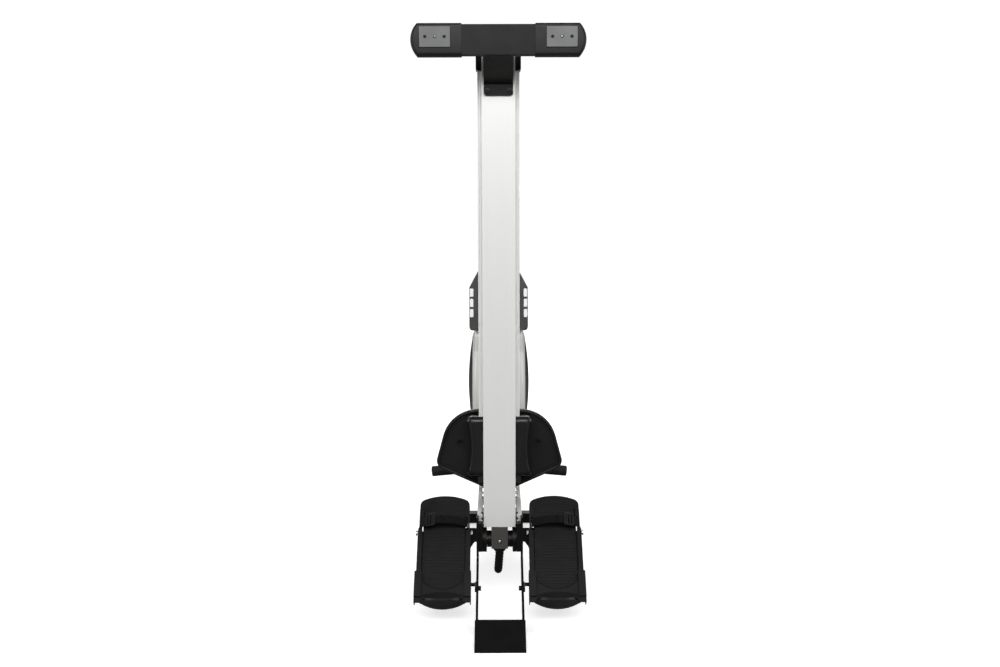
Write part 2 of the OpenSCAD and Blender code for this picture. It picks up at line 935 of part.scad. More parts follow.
// Flat spiral return spring beside the drum
module recoil_spring() {
    turns = 4;
    steps = 24 * turns;
    r0 = 11;
    pitch = 5;
    strip = 1.4;
    spiral = [for (i = [0:steps]) let (a = 15 * i, r = r0 + pitch * a / 360)
        [r * cos(a), r * sin(a)]];
    back = [for (i = [steps:-1:0]) let (a = 15 * i, r = r0 + strip + pitch * a / 360)
        [r * cos(a), r * sin(a)]];
    color(steel) translate([0, drum_y, drum_z]) slab_x(-38, -31) polygon(concat(spiral, back));
}

// Strap from the drum over the guide bar and up to the handle
module pull_strap() {
    half = 12.5;
    t = 0.8;
    color(black) {
        slab_x(-half, half) polygon([
            [handle_y - t, guide_z], [handle_y + t, guide_z], [handle_y + t, handle_z - 32.2],
            [handle_y - t, handle_z - 32.2]
        ]);
        slab_x(-half, half) difference() {
            translate([guide_y, guide_z]) circle(guide_r + 1 + 2 * t);
            translate([guide_y, guide_z]) circle(guide_r + 1);
            translate([guide_y - 40, guide_z]) square([80, 40]);
            translate([guide_y, guide_z - 40]) square([40, 80]);
        }
        slab_x(-half, half) polygon([
            [guide_y, guide_z - guide_r - 1 - 2 * t], [guide_y, guide_z - guide_r - 1],
            [drum_y - 10, drum_z - 30.4], [drum_y - 10, drum_z - 30.4 - 2 * t]
        ]);
    }
}

// Cheeks and fixed bar that guide the pull strap out of the housing
module strap_guide() {
    rod_x(guide_r, -14.6, 14.6, guide_y, guide_z);
    both() slab_x(14.5, 18) polygon([
        [guide_y - 12, guide_z - 12], [40, guide_z - 24], [40, guide_z + 18],
        [guide_y + 12, guide_z + 12], [guide_y - 12, guide_z + 10]
    ]);
}

module magnet_arm() {
    color(dark_grey) translate([0, wheel_y, wheel_z]) difference() {
        union() {
            slab_x(-30, -2) polygon(concat(arc([0, 0], 137.5, 20, 82, 20), arc([0, 0], 146, 82, 20, 20)));
            rod_x(7, -30, 4, 144 * cos(84), 144 * sin(84));
        }
        rod_x(3.05, -40, 10, 144 * cos(84), 144 * sin(84));
    }
}

module brake_motor() {
    color(black) {
        difference() {
            block([-36, 240, 325], [0, 285, 372]);
            block([-33, 243, 328], [-3, 282, 369]);
        }
        rod_x(9, 0, 5, 262, 348);
        rod_x(3, plate_x * -1, 6, wheel_y + 144 * cos(84), wheel_z + 144 * sin(84));
    }
}

// ---- Housing -------------------------------------------------------------------------------

module disc(r, half, y, z) {
    rod_x(r, -half, half, y, z, $fn = hull_fn);
}

// Outer body of the housing, or its hollow when inset by g
module shell_body(g) {
    half = shell_w / 2;
    hull() {
        disc(180 - g, 58 - g, wheel_y, wheel_z);
        disc(174 - g, 76 - g, wheel_y, wheel_z);
        disc(dome_r + 3 - g, half - g, wheel_y, wheel_z);
    }
    hull() {
        disc(92 - g, 56 - g, 175, 395);
        disc(44 - g, 36 - g, 22, 300);
    }
    hull() {
        disc(92 - g, 56 - g, 175, 395);
        disc(150 - g, 56 - g, 330, 400);
        disc(172 - g, 58 - g, wheel_y, wheel_z);
    }
    hull() {
        disc(90 - g, 79 - g, 322, 610);
        disc(26 - g, 79 - g, 248, 713);
        disc(34 - g, 71 - g, 246, 705);
    }
}

module under_housing() {
    slab_x(-150, 150) polygon([
        [-100, 100], [700, 0], [700, 54], [566, 96.4], [40, 262.4], [-100, 262.4]
    ]);
}

module housing() {
    skin = 3;
    split = 0.15;
    difference() {
        shell_body(0);
        shell_body(skin);
        under_housing();
        block([-200, -300, 0], [split, 800, 900]);
        rod_x(dome_r + 0.3, 60, 120, wheel_y, wheel_z);
        block([0, -60, 255], [18.4, 60, 318]);
        block([17, -60, 255], [30.6, 60, 350]);
        block([plate_x - 0.4, 100, 200], [plate_x + plate_t + 0.4, 346, 322]);
        block([0, 190, 703], [30, 236, 745]);
    }
}

module housing_left() {
    color(light_grey) mirror([1, 0, 0]) housing();
}

module housing_right() {
    color(light_grey) housing();
}

module dome() {
    rise = (dome_w - shell_w) / 2 + 0.5;
    r = (dome_r * dome_r + rise * rise) / (2 * rise);
    edge = asin(dome_r / r);
    sheet = 2.5;
    centre = [0, dome_w / 2 - r];
    translate([0, wheel_y, wheel_z]) rotate([0, 90, 0]) rotate_extrude($fn = 96) polygon(concat(
        arc(centre, r, 90, 90 - edge, 10),
        arc(centre - [0, sheet], r, 90 - edge, 90, 10)
    ));
}

module dome_left() {
    color(black) mirror([1, 0, 0]) dome();
}

module dome_right() {
    color(black) dome();
}

// Two open hooks that hold the handle in front of the housing, joined to the strap guide
module handle_cradle() {
    color(black) {
        both() slab_x(24, 30) difference() {
            union() {
                translate([handle_y, handle_z]) circle(18);
                polygon([
                    [handle_y, handle_z - 18], [20, 282], [30, 282], [30, 336],
                    [handle_y + 17, handle_z - 2]
                ]);
            }
            translate([handle_y, handle_z]) circle(bar_r + 0.6);
            translate([handle_y - 40, handle_z - 2]) square([80, 40]);
        }
        both() block([17.9, 10, 284], [24.1, 30, 306]);
        strap_guide();
    }
}

// ---- Handle --------------------------------------------------------------------------------

module drooping(x) {
    translate([x, handle_y, handle_z]) rotate([0, droop, 0]) rotate([0, 90, 0]) children();
}

module handle_bar() {
    color(steel) {
        rod_x(bar_r, -grip_x0 - 2, grip_x0 + 2, handle_y, handle_z);
        both() drooping(grip_x0) cylinder(r = bar_r - 0.3, h = handle_len / 2 - grip_x0 - 4);
        difference() {
            block([-16, handle_y - 3, handle_z - 32], [16, handle_y + 3, handle_z - 8]);
            block([-12.5, handle_y - 4, handle_z - 26], [12.5, handle_y + 4, handle_z - 22]);
        }
    }
}

module handle_grips() {
    r = grip_d / 2;
    color(black) both() drooping(grip_x0) translate([0, 0, 4]) difference() {
        union() {
            cylinder(r = r, h = handle_len / 2 - grip_x0 - 8);
            translate([0, 0, handle_len / 2 - grip_x0 - 8]) cylinder(r1 = r, r2 = r - 3, h = 4);
        }
        translate([0, 0, -1]) cylinder(r = bar_r - 0.28, h = handle_len / 2 - grip_x0 - 7);
    }
}

// ---- Console -------------------------------------------------------------------------------

module console_face(g) {
    half = console_w / 2 - g;
    r = 10;
    polygon(concat(
        arc([half - r, r + g], r, -90, 0, 6),
        [[half, shoulder_z], [62 - g, console_h - g], [-62 + g, console_h - g], [-half, shoulder_z]],
        arc([-half + r, r + g], r, 180, 270, 6)
    ));
}

module console_case() {
    key_clear = 0.4;
    color(black) on_console() difference() {
        union() {
            slab_y(0, console_d) console_face(0);
            slab_y(console_d - 0.1, console_d + 9) console_face(14);
            both() block([7, 19, -15], [17, 31, 1]);
        }
        slab_y(3, console_d - 3) difference() {
            console_face(3);
            both() translate([key_x - 11, key_z[2] - 14]) square([40, key_z[0] - key_z[2] + 28]);
        }
        block([-screen_half - 0.2, -1, screen_z[0]], [screen_half + 0.2, 1.5, screen_z[1]]);
        both() for (z = key_z) {
            block(
                [key_x - key_w / 2 - key_clear, -1, z - 13.4],
                [key_x + key_w / 2 + key_clear, 4, z + 13.4]
            );
        }
        console_pivot_bore();
    }
}

// The console turns on a rod whose axis is given in the machine's frame
module console_pivot_bore() {
    rotate([console_tilt, 0, 0]) rod_x(4.05, -30, 30, pivot_y - console_y, pivot_z - console_z);
}

module console_screen() {
    color([0.1, 0.12, 0.13]) on_console()
        block([-screen_half, 0.3, screen_z[0] + 0.2], [screen_half, 1.5, screen_z[1] - 0.2]);
}

module key(side, i) {
    color(white) on_console() mirror([side < 0 ? 1 : 0, 0, 0])
        slab_y(-1.5, 2.5) translate([key_x, key_z[i]]) round_rect(key_w, 26, 3);
}

module key_left_1() {
    key(-1, 0);
}

module key_left_2() {
    key(-1, 1);
}

module key_left_3() {
    key(-1, 2);
}

module key_right_1() {
    key(1, 0);
}

module key_right_2() {
    key(1, 1);
}

module key_right_3() {
    key(1, 2);
}

main_beam();
hinge_cheeks();
hinge_axle();
support_leg();
front_stabiliser();
front_caps();
frame_fasteners();
drive_frame();
housing_left();
housing_right();
dome_left();
dome_right();
handle_cradle();
footplate_left();
footplate_right();
footrest_arms();
footrest_stays();
foot_straps();
strap_buckles();
drive_axles();
recoil_spring();
brake_motor();
drive_belt();
pull_strap();
rail();
lock_bracket();
hinge_sleeve();
rail_end_cap();
rear_post();
rear_stabiliser();
rear_caps();
rear_pads();
rail_fasteners();
seat_stops();
lock_knob();
seat_cushion();
seat_pan();
seat_carriage();
carriage_covers();
seat_screws();
rollers_front();
rollers_rear();
heel_cup_left();
heel_cup_right();
transport_wheel_left();
transport_wheel_right();
console_case();
console_screen();
key_left_1();
key_left_2();
key_left_3();
key_right_1();
key_right_2();
key_right_3();
flywheel();
drive_pulley();
strap_drum();
handle_bar();
handle_grips();
magnet_arm();
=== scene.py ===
"""Looks of the folding rowing machine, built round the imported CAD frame."""

import json
import math

import bmesh
import bpy
from mathutils import Matrix, Vector
from mathutils.bvhtree import BVHTree


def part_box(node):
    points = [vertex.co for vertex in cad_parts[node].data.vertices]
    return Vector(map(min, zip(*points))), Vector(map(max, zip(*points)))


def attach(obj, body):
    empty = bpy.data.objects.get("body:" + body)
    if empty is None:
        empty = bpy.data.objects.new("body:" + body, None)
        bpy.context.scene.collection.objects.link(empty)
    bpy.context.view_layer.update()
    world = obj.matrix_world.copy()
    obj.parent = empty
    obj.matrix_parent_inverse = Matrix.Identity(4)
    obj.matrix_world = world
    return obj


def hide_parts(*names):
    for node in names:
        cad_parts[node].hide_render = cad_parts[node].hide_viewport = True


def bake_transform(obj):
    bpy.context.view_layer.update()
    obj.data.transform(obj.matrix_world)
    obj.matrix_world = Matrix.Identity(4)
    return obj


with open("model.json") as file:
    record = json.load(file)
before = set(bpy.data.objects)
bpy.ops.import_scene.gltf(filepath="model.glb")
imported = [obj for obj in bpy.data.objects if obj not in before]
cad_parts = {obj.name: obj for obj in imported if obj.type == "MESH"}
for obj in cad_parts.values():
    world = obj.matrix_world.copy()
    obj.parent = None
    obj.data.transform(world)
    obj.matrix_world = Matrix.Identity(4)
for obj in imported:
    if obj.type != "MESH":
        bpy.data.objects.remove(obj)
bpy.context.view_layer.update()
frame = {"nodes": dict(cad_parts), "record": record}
RECORD = frame["record"]
NODES = frame["nodes"]
SLOT = {row["node"]: row["material_slot"] for row in RECORD["subparts"]}
COLOURS = {row["slot"]: row["base_color"][:3] for row in RECORD["materials"]}
JOINT = {row["name"]: row for row in RECORD["behaviour"]["joints"]}
MM = 0.001

# ---- Camera ---------------------------------------------------------------------------------

CAMERA_PLACE = (-0.008, -3.300, 1.152)
CAMERA_PITCH = -7.0
CAMERA_YAW = 0.20
CAMERA_ROLL = -0.16
FOCAL_PX = 1107.0
IMAGE_W = 1000.0
SENSOR_MM = 36.0


def make_camera():
    data = bpy.data.cameras.new("camera")
    data.sensor_width = SENSOR_MM
    data.lens = FOCAL_PX / IMAGE_W * SENSOR_MM
    camera = bpy.data.objects.new("camera", data)
    camera.location = CAMERA_PLACE
    turn = Matrix.Rotation(math.radians(-CAMERA_YAW), 3, "Z") @ Matrix.Rotation(
        math.radians(90 + CAMERA_PITCH), 3, "X") @ Matrix.Rotation(
        math.radians(CAMERA_ROLL), 3, "Z")
    camera.rotation_euler = turn.to_euler()
    bpy.context.collection.objects.link(camera)
    bpy.context.scene.camera = camera


# ---- Materials ------------------------------------------------------------------------------

class Shader:
    """A node material: a Principled shader and short ways to feed it from noise and waves."""

    def __init__(self, name, colour, rough, metallic=0.0, specular=0.5, **sockets):
        self.material = bpy.data.materials.new(name)
        self.material.use_nodes = True
        self.tree = self.material.node_tree
        self.shader = self.tree.nodes["Principled BSDF"]
        self.colour = colour
        self.put("Base Color", (*colour, 1))
        self.put("Roughness", rough)
        self.put("Metallic", metallic)
        self.put("Specular IOR Level", specular)
        for key, value in sockets.items():
            self.put(key.replace("_", " "), value)
        self.place = self.node("ShaderNodeTexCoord").outputs["Object"]
        self.height = None

    def put(self, socket, value):
        self.shader.inputs[socket].default_value = value

    def node(self, kind, **inputs):
        made = self.tree.nodes.new(kind)
        for key, value in inputs.items():
            socket = made.inputs[key.replace("_", " ")]
            if hasattr(value, "is_output"):
                self.tree.links.new(value, socket)
            else:
                socket.default_value = value
        return made

    def link(self, output, socket):
        self.tree.links.new(output, socket)

    def scaled(self, scale):
        mapping = self.node("ShaderNodeMapping", Scale=scale)
        self.link(self.place, mapping.inputs["Vector"])
        return mapping.outputs["Vector"]

    def noise(self, scale, stretch=(1, 1, 1), detail=3.0):
        made = self.node("ShaderNodeTexNoise", Scale=scale, Detail=detail)
        self.link(self.scaled(stretch), made.inputs["Vector"])
        return made.outputs["Fac"]

    def cells(self, scale, feature="DISTANCE_TO_EDGE"):
        made = self.node("ShaderNodeTexVoronoi", Scale=scale)
        made.feature = feature
        self.link(self.scaled((1, 1, 1)), made.inputs["Vector"])
        return made.outputs["Distance"]

    def ranged(self, value, low, high, start=0.3, end=0.7):
        made = self.tree.nodes.new("ShaderNodeMapRange")
        self.link(value, made.inputs["Value"])
        for key, number in (("From Min", start), ("From Max", end),
                            ("To Min", low), ("To Max", high)):
            made.inputs[key].default_value = number
        return made.outputs["Result"]

    def tint(self, value, dark, light):
        """Colour variation between two shares of the base colour."""
        ramp = self.tree.nodes.new("ShaderNodeValToRGB")
        self.link(value, ramp.inputs["Fac"])
        for element, share, place in zip(ramp.color_ramp.elements, (dark, light), (0.3, 0.7)):
            element.position = place
            element.color = (*[min(1.0, c * share) for c in self.colour], 1)
        self.link(ramp.outputs["Color"], self.shader.inputs["Base Color"])

    def rough(self, value, low, high):
        self.link(self.ranged(value, low, high), self.shader.inputs["Roughness"])

    def bump(self, value, depth_mm, strength=1.0):
        made = self.node("ShaderNodeBump", Strength=strength, Distance=depth_mm * MM)
        self.link(value, made.inputs["Height"])
        if self.height:
            self.link(self.height, made.inputs["Normal"])
        self.height = made.outputs["Normal"]
        self.link(self.height, self.shader.inputs["Normal"])


def moulded(name, colour, rough, grain=1500.0, depth=0.05, vary=0.18, **sockets):
    """Moulded plastic or rubber: fine spark-eroded grain and faint handling marks."""
    made = Shader(name, colour, rough, **sockets)
    made.tint(made.noise(9.0), 1 - vary, 1 + vary)
    made.rough(made.noise(24.0, detail=6.0), rough - 0.2 * vary, rough + 0.25 * vary)
    made.bump(made.cells(grain), depth)
    return made.material


def painted(name, colour, rough, peel=420.0, depth=0.09, **sockets):
    """Powder coat: a soft orange peel, with slight changes of gloss."""
    made = Shader(name, colour, rough, **sockets)
    made.tint(made.noise(6.0), 0.94, 1.05)
    made.rough(made.noise(18.0, detail=5.0), rough - 0.05, rough + 0.06)
    made.bump(made.noise(peel, detail=1.0), depth)
    return made.material


def metal(name, colour, rough, stretch, lines=500.0, depth=0.02, metallic=1.0, shade=(0.93, 1.05)):
    """Metal with drawn or brushed lines along its least stretched direction."""
    made = Shader(name, colour, rough, metallic)
    streaks = made.noise(lines, stretch, 4.0)
    made.tint(streaks, *shade)
    made.rough(streaks, rough - 0.07, rough + 0.09)
    made.bump(streaks, depth)
    return made.material


def leather(name, colour, rough):
    made = Shader(name, colour, rough, specular=0.3, Sheen_Weight=0.08, Sheen_Roughness=0.4)
    made.tint(made.noise(14.0, detail=5.0), 0.8, 1.35)
    made.rough(made.noise(60.0), rough - 0.06, rough + 0.08)
    made.bump(made.cells(520.0), 0.25)
    made.bump(made.noise(1800.0), 0.05)
    return made.material


def woven(name, colour, rough):
    """Webbing: ribs along and across the strap, read from the ribbon's own map in metres."""
    made = Shader(name, colour, rough, specular=0.12, Sheen_Weight=0.03, Sheen_Roughness=0.5)
    made.place = made.node("ShaderNodeTexCoord").outputs["UV"]
    split = made.tree.nodes.new("ShaderNodeSeparateXYZ")
    made.link(made.place, split.inputs["Vector"])
    rows = []
    for axis, pitch_mm in (("X", 2.2), ("Y", 1.6)):
        turns = made.tree.nodes.new("ShaderNodeMath")
        turns.operation = "MULTIPLY"
        made.link(split.outputs[axis], turns.inputs[0])
        turns.inputs[1].default_value = 2 * math.pi / (pitch_mm * MM)
        wave = made.tree.nodes.new("ShaderNodeMath")
        wave.operation = "SINE"
        made.link(turns.outputs[0], wave.inputs[0])
        rows.append(wave.outputs[0])
    weave = made.tree.nodes.new("ShaderNodeMath")
    weave.operation = "MULTIPLY"
    made.link(rows[0], weave.inputs[0])
    made.link(rows[1], weave.inputs[1])
    made.tint(made.ranged(weave.outputs[0], 0.2, 0.8, -1, 1), 0.7, 1.5)
    made.bump(weave.outputs[0], 0.25)
    return made.material


def cast(name, colour, rough):
    made = Shader(name, colour, rough, 0.85)
    made.tint(made.noise(40.0, detail=6.0), 0.7, 1.3)
    made.rough(made.noise(90.0), rough - 0.1, rough + 0.12)
    made.bump(made.noise(700.0, detail=5.0), 0.2)
    return made.material


def make_materials():
    c = COLOURS
    return {
        "rail_aluminium": metal("rail_aluminium", (0.80, 0.80, 0.785), 0.40, (1, 1, 0.003), 900.0,
                                0.003, 0.15, (0.988, 1.01)),
        "frame_paint": painted("frame_paint", (0.53, 0.53, 0.515), 0.38, metallic=0.25),
        "black_steel": painted("black_steel", (0.0040, 0.0040, 0.0039), 0.42, specular=0.17),
        "bracket_steel": painted("bracket_steel", (0.058, 0.055, 0.050), 0.45),
        "black_plastic": moulded("black_plastic", (0.0072, 0.0072, 0.0070), 0.46, specular=0.25),
        "gloss_black": moulded("gloss_black", (0.0045, 0.0045, 0.0048), 0.34, 900.0, 0.002,
                               specular=0.42),
        "console_plastic": moulded("console_plastic", (0.006, 0.006, 0.006), 0.38, 1300.0, 0.03,
                                   specular=0.3),
        "shell_plastic": moulded("shell_plastic", (0.66, 0.66, 0.635), 0.27, 700.0, 0.004, 0.012),
        "mesh_black": moulded("mesh_black", (0.035, 0.034, 0.032), 0.34, 1200.0, 0.02),
        "pad_rubber": moulded("pad_rubber", (0.178, 0.18, 0.18), 0.62, 1100.0, 0.09, specular=0.3),
        "black_rubber": moulded("black_rubber", (0.010, 0.010, 0.010), 0.70, 900.0, 0.12,
                                specular=0.3),
        "roller_plastic": moulded("roller_plastic", c["roller_plastic"], 0.35, 900.0, 0.02),
        "seat_cover": leather("seat_cover", (0.010, 0.010, 0.010), 0.48),
        "webbing": woven("webbing", (0.0036, 0.0036, 0.0033), 0.75),
        "zinc": metal("zinc", c["zinc"], 0.36, (1, 1, 1), 260.0, 0.02),
        "bright_steel": metal("bright_steel", c["bright_steel"], 0.30, (0.03, 1, 1), 600.0),
        "cast_iron": cast("cast_iron", c["cast_iron"], 0.45),
        "key_plastic": moulded("key_plastic", (0.90, 0.90, 0.90), 0.40, 1500.0, 0.008, 0.02),
        "screen": moulded("screen", (0.012, 0.016, 0.020), 0.12, 300.0, 0.002),
        "lcd": moulded("lcd", (0.30, 0.34, 0.30), 0.30, 600.0, 0.002, 0.03),
    }


# ---- Studio ---------------------------------------------------------------------------------

ROOM_STRENGTH = 0.09
BACKDROP_STRENGTH = 1.02
FLOOR_GLOW_NEAR = 0.40
FLOOR_GLOW_FAR = 1.1
FLOOR_BOUNCE = 0.25
FLOOR_WHITE = (0.93, 0.93, 0.93)


def area_light(name, place, target, size, watts):
    data = bpy.data.lights.new(name, "AREA")
    data.shape = "RECTANGLE"
    data.size, data.size_y = size
    data.energy = watts
    light = bpy.data.objects.new(name, data)
    light.location = place
    light.rotation_euler = (Vector(target) - Vector(place)).to_track_quat("-Z", "Y").to_euler()
    bpy.context.collection.objects.link(light)


def make_world():
    """White behind everything for the camera, and a dim grey room for every other ray."""
    world = bpy.data.worlds.new("studio")
    bpy.context.scene.world = world
    world.use_nodes = True
    nodes, links = world.node_tree.nodes, world.node_tree.links
    room = nodes["Background"]
    room.inputs["Color"].default_value = (1.0, 0.99, 0.97, 1.0)
    room.inputs["Strength"].default_value = ROOM_STRENGTH
    backdrop = nodes.new("ShaderNodeBackground")
    backdrop.inputs["Color"].default_value = (1.0, 1.0, 1.0, 1.0)
    backdrop.inputs["Strength"].default_value = BACKDROP_STRENGTH
    path = nodes.new("ShaderNodeLightPath")
    mix = nodes.new("ShaderNodeMixShader")
    links.new(path.outputs["Is Camera Ray"], mix.inputs["Fac"])
    links.new(room.outputs["Background"], mix.inputs[1])
    links.new(backdrop.outputs["Background"], mix.inputs[2])
    links.new(mix.outputs["Shader"], nodes["World Output"].inputs["Surface"])


def floor_material():
    """White floor that glows more with its distance from the machine, so that it has no horizon."""
    made = Shader("floor_white", FLOOR_WHITE, 0.9, specular=0.1)
    length = made.tree.nodes.new("ShaderNodeVectorMath")
    length.operation = "LENGTH"
    made.link(made.place, length.inputs[0])
    made.put("Emission Color", (1, 1, 1, 1))
    glow = made.ranged(length.outputs["Value"], FLOOR_GLOW_NEAR, FLOOR_GLOW_FAR, 0.9, 3.0)
    seen = made.node("ShaderNodeLightPath").outputs["Is Camera Ray"]
    bounce = made.tree.nodes.new("ShaderNodeMix")
    bounce.data_type = "RGBA"
    made.link(seen, bounce.inputs["Factor"])
    bounce.inputs["A"].default_value = (FLOOR_BOUNCE, FLOOR_BOUNCE, FLOOR_BOUNCE, 1)
    bounce.inputs["B"].default_value = (*FLOOR_WHITE, 1)
    made.link(bounce.outputs["Result"], made.shader.inputs["Base Color"])
    shown = made.tree.nodes.new("ShaderNodeMath")
    shown.operation = "MULTIPLY"
    made.link(glow, shown.inputs[0])
    made.link(seen, shown.inputs[1])
    made.link(shown.outputs[0], made.shader.inputs["Emission Strength"])
    return made.material


def make_studio():
    bpy.context.scene.view_settings.view_transform = "Standard"
    make_world()
    area_light("front", (0, -4.3, 3.15), (0, 0, 1.1), (4.4, 1.7), 215)
    area_light("behind", (0, 4.2, 2.6), (0, 0, 0.8), (3.6, 1.6), 95)
    for side in (-1, 1):
        area_light(f"edge_{side}", (2.5 * side, -0.3, 1.5), (0, 0.2, 0.7), (0.6, 1.8), 30)
    bpy.ops.mesh.primitive_plane_add(size=24)
    floor = bpy.context.object
    floor.name = "floor"
    floor.data.materials.append(floor_material())


# ---- Mesh helpers ---------------------------------------------------------------------------

def finish_mesh(obj, slot, smooth=35.0):
    """Outward normals, smooth shading up to an angle, and the slot's material."""
    mesh = obj.data
    work = bmesh.new()
    work.from_mesh(mesh)
    bmesh.ops.recalc_face_normals(work, faces=work.faces)
    work.to_mesh(mesh)
    work.free()
    mesh.shade_smooth()
    mesh.set_sharp_from_angle(angle=math.radians(smooth))
    mesh.materials.clear()
    mesh.materials.append(MATERIALS[slot])


def add_piece(name, parts, slot, body, stands_for=(), smooth=35.0):
    """One piece out of several (vertices in mm, faces) parts, riding on a body."""
    verts, faces = [], []
    for part_verts, part_faces in parts:
        base = len(verts)
        verts += [Vector(v) * MM for v in part_verts]
        faces += [[base + i for i in face] for face in part_faces]
    mesh = bpy.data.meshes.new(name)
    mesh.from_pydata(verts, [], faces)
    mesh.validate()
    obj = bpy.data.objects.new(name, mesh)
    bpy.context.collection.objects.link(obj)
    finish_mesh(obj, slot, smooth)
    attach(obj, body)
    if stands_for:
        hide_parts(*stands_for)
    return obj


def lathe(profile, origin, axis, segments=48, closed=False):
    """Turned part: (radius, height) pairs in mm round an axis, capped unless closed."""
    along = Vector(axis).normalized()
    side = along.orthogonal().normalized()
    other = along.cross(side)
    verts = [Vector(origin) + along * h + (side * math.cos(a) + other * math.sin(a)) * r
             for r, h in profile
             for a in (2 * math.pi * k / segments for k in range(segments))]
    rings = len(profile)
    faces = []
    for i in range(rings if closed else rings - 1):
        lo, hi = i * segments, (i + 1) % rings * segments
        faces += [[lo + k, lo + (k + 1) % segments, hi + (k + 1) % segments, hi + k]
                  for k in range(segments)]
    if not closed:
        faces += [list(range(segments))[::-1],
                  list(range((rings - 1) * segments, rings * segments))]
    return verts, faces


def tube(path, radius, closed=False, segments=10):
    """Round bar along a path of points in mm."""
    points = [Vector(p) for p in path]
    count = len(points)
    verts, faces = [], []
    normal = None
    for i, point in enumerate(points):
        before = points[i - 1] if i or closed else points[i]
        after = points[(i + 1) % count] if i < count - 1 or closed else points[i]
        along = (after - before).normalized()
        if normal is None:
            normal = along.orthogonal().normalized()
        normal = (normal - along * normal.dot(along)).normalized()
        other = along.cross(normal)
        verts += [point + (normal * math.cos(a) + other * math.sin(a)) * radius
                  for a in (2 * math.pi * k / segments for k in range(segments))]
    for i in range(count if closed else count - 1):
        lo, hi = i * segments, (i + 1) % count * segments
        faces += [[lo + k, lo + (k + 1) % segments, hi + (k + 1) % segments, hi + k]
                  for k in range(segments)]
    if not closed:
        faces += [list(range(segments))[::-1],
                  list(range((count - 1) * segments, count * segments))]
    return verts, faces


def bar(lo, hi, round_by=0.8):
    """Box between two corners in mm with its edges cut back, as two stacked octagonal sections."""
    (x0, y0, z0), (x1, y1, z1) = lo, hi
    r = round_by

    def ring(z, inset):
        a, b, c, d = x0 + inset, x1 - inset, y0 + inset, y1 - inset
        return [(a + r, c, z), (b - r, c, z), (b, c + r, z), (b, d - r, z),
                (b - r, d, z), (a + r, d, z), (a, d - r, z), (a, c + r, z)]

    verts = ring(z0, r) + ring(z0 + r, 0) + ring(z1 - r, 0) + ring(z1, r)
    faces = [[8 * i + k, 8 * i + (k + 1) % 8, 8 * i + 8 + (k + 1) % 8, 8 * i + 8 + k]
             for i in range(3) for k in range(8)]
    return verts, faces + [list(range(8))[::-1], list(range(24, 32))]


def placed(part, place):
    """A part with every vertex put through a function."""
    return [place(Vector(v)) for v in part[0]], part[1]


def mirrored(part):
    return [(-v[0], v[1], v[2]) for v in part[0]], [face[::-1] for face in part[1]]


def loft(rings, cap=True):
    """Skin over rings of equal length."""
    n = len(rings[0])
    verts = [v for ring in rings for v in ring]
    faces = [[n * i + k, n * i + (k + 1) % n, n * i + n + (k + 1) % n, n * i + n + k]
             for i in range(len(rings) - 1) for k in range(n)]
    if cap:
        faces += [list(range(n))[::-1], list(range(n * (len(rings) - 1), n * len(rings)))]
    return verts, faces


def arc(centre, r, a0, a1, n):
    return [(centre[0] + r * math.cos(math.radians(a0 + (a1 - a0) * i / n)),
             centre[1] + r * math.sin(math.radians(a0 + (a1 - a0) * i / n))) for i in range(n + 1)]


def ribbon(name, path, across, width, thick, slot, body=None, stands_for=()):
    """Flat strap along a path in mm: rounded edges, and a map in metres for its weave."""
    points = [Vector(p) for p in path]
    across = Vector(across).normalized()
    section = [(-width / 2 + thick / 2, -thick / 2), (-width / 4, -thick / 2), (0, -thick / 2),
               (width / 4, -thick / 2), (width / 2 - thick / 2, -thick / 2), (width / 2, 0),
               (width / 2 - thick / 2, thick / 2), (width / 4, thick / 2), (0, thick / 2),
               (-width / 4, thick / 2), (-width / 2 + thick / 2, thick / 2), (-width / 2, 0)]
    rings, run, runs = [], 0.0, []
    for i, point in enumerate(points):
        along = (points[min(i + 1, len(points) - 1)] - points[max(i - 1, 0)]).normalized()
        out = across.cross(along).normalized()
        rings.append([point + across * u + out * w for u, w in section])
        run += (point - points[i - 1]).length if i else 0.0
        runs.append(run)
    verts, faces = loft(rings)
    mesh = bpy.data.meshes.new(name)
    mesh.from_pydata([v * MM for v in verts], [], faces)
    layer = mesh.uv_layers.new(name="weave")
    for loop in mesh.loops:
        ring, k = divmod(loop.vertex_index, len(section))
        layer.data[loop.index].uv = (runs[ring] * MM, section[k][0] * MM)
    obj = bpy.data.objects.new(name, mesh)
    bpy.context.collection.objects.link(obj)
    finish_mesh(obj, slot, 60.0)
    if body:
        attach(obj, body)
    if stands_for:
        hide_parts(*stands_for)
    return obj


def use_modifiers(obj):
    """The object's mesh with its modifiers applied."""
    graph = bpy.context.evaluated_depsgraph_get()
    made = bpy.data.meshes.new_from_object(obj.evaluated_get(graph))
    obj.modifiers.clear()
    old = obj.data
    obj.data = made
    bpy.data.meshes.remove(old)


# ---- Local frames ---------------------------------------------------------------------------

HINGE = [v / MM for v in JOINT["rail_fold"]["pos_m"]]
RAIL_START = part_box("rail")[0].z / MM
SEAT_CENTRE_UP = 122
SEAT_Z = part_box("seat_pan")[0].z / MM + SEAT_CENTRE_UP
PAN_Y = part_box("seat_cushion")[0].y / MM - 0.3
FOOT_X = (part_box("footplate_right")[0].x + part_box("footplate_right")[1].x) / 2 / MM
FOOT_Y, FOOT_Z = -335.5, 188.0
Q = math.sqrt(0.5)
CONSOLE_Y, CONSOLE_Z, CONSOLE_TILT = 180, 739, math.radians(15)


def on_foot(p):
    """Right footrest's frame: across, along toward the toe, and out of the foot surface."""
    return Vector((FOOT_X + p[0], FOOT_Y + Q * (p[1] - p[2]), FOOT_Z + Q * (p[1] + p[2])))


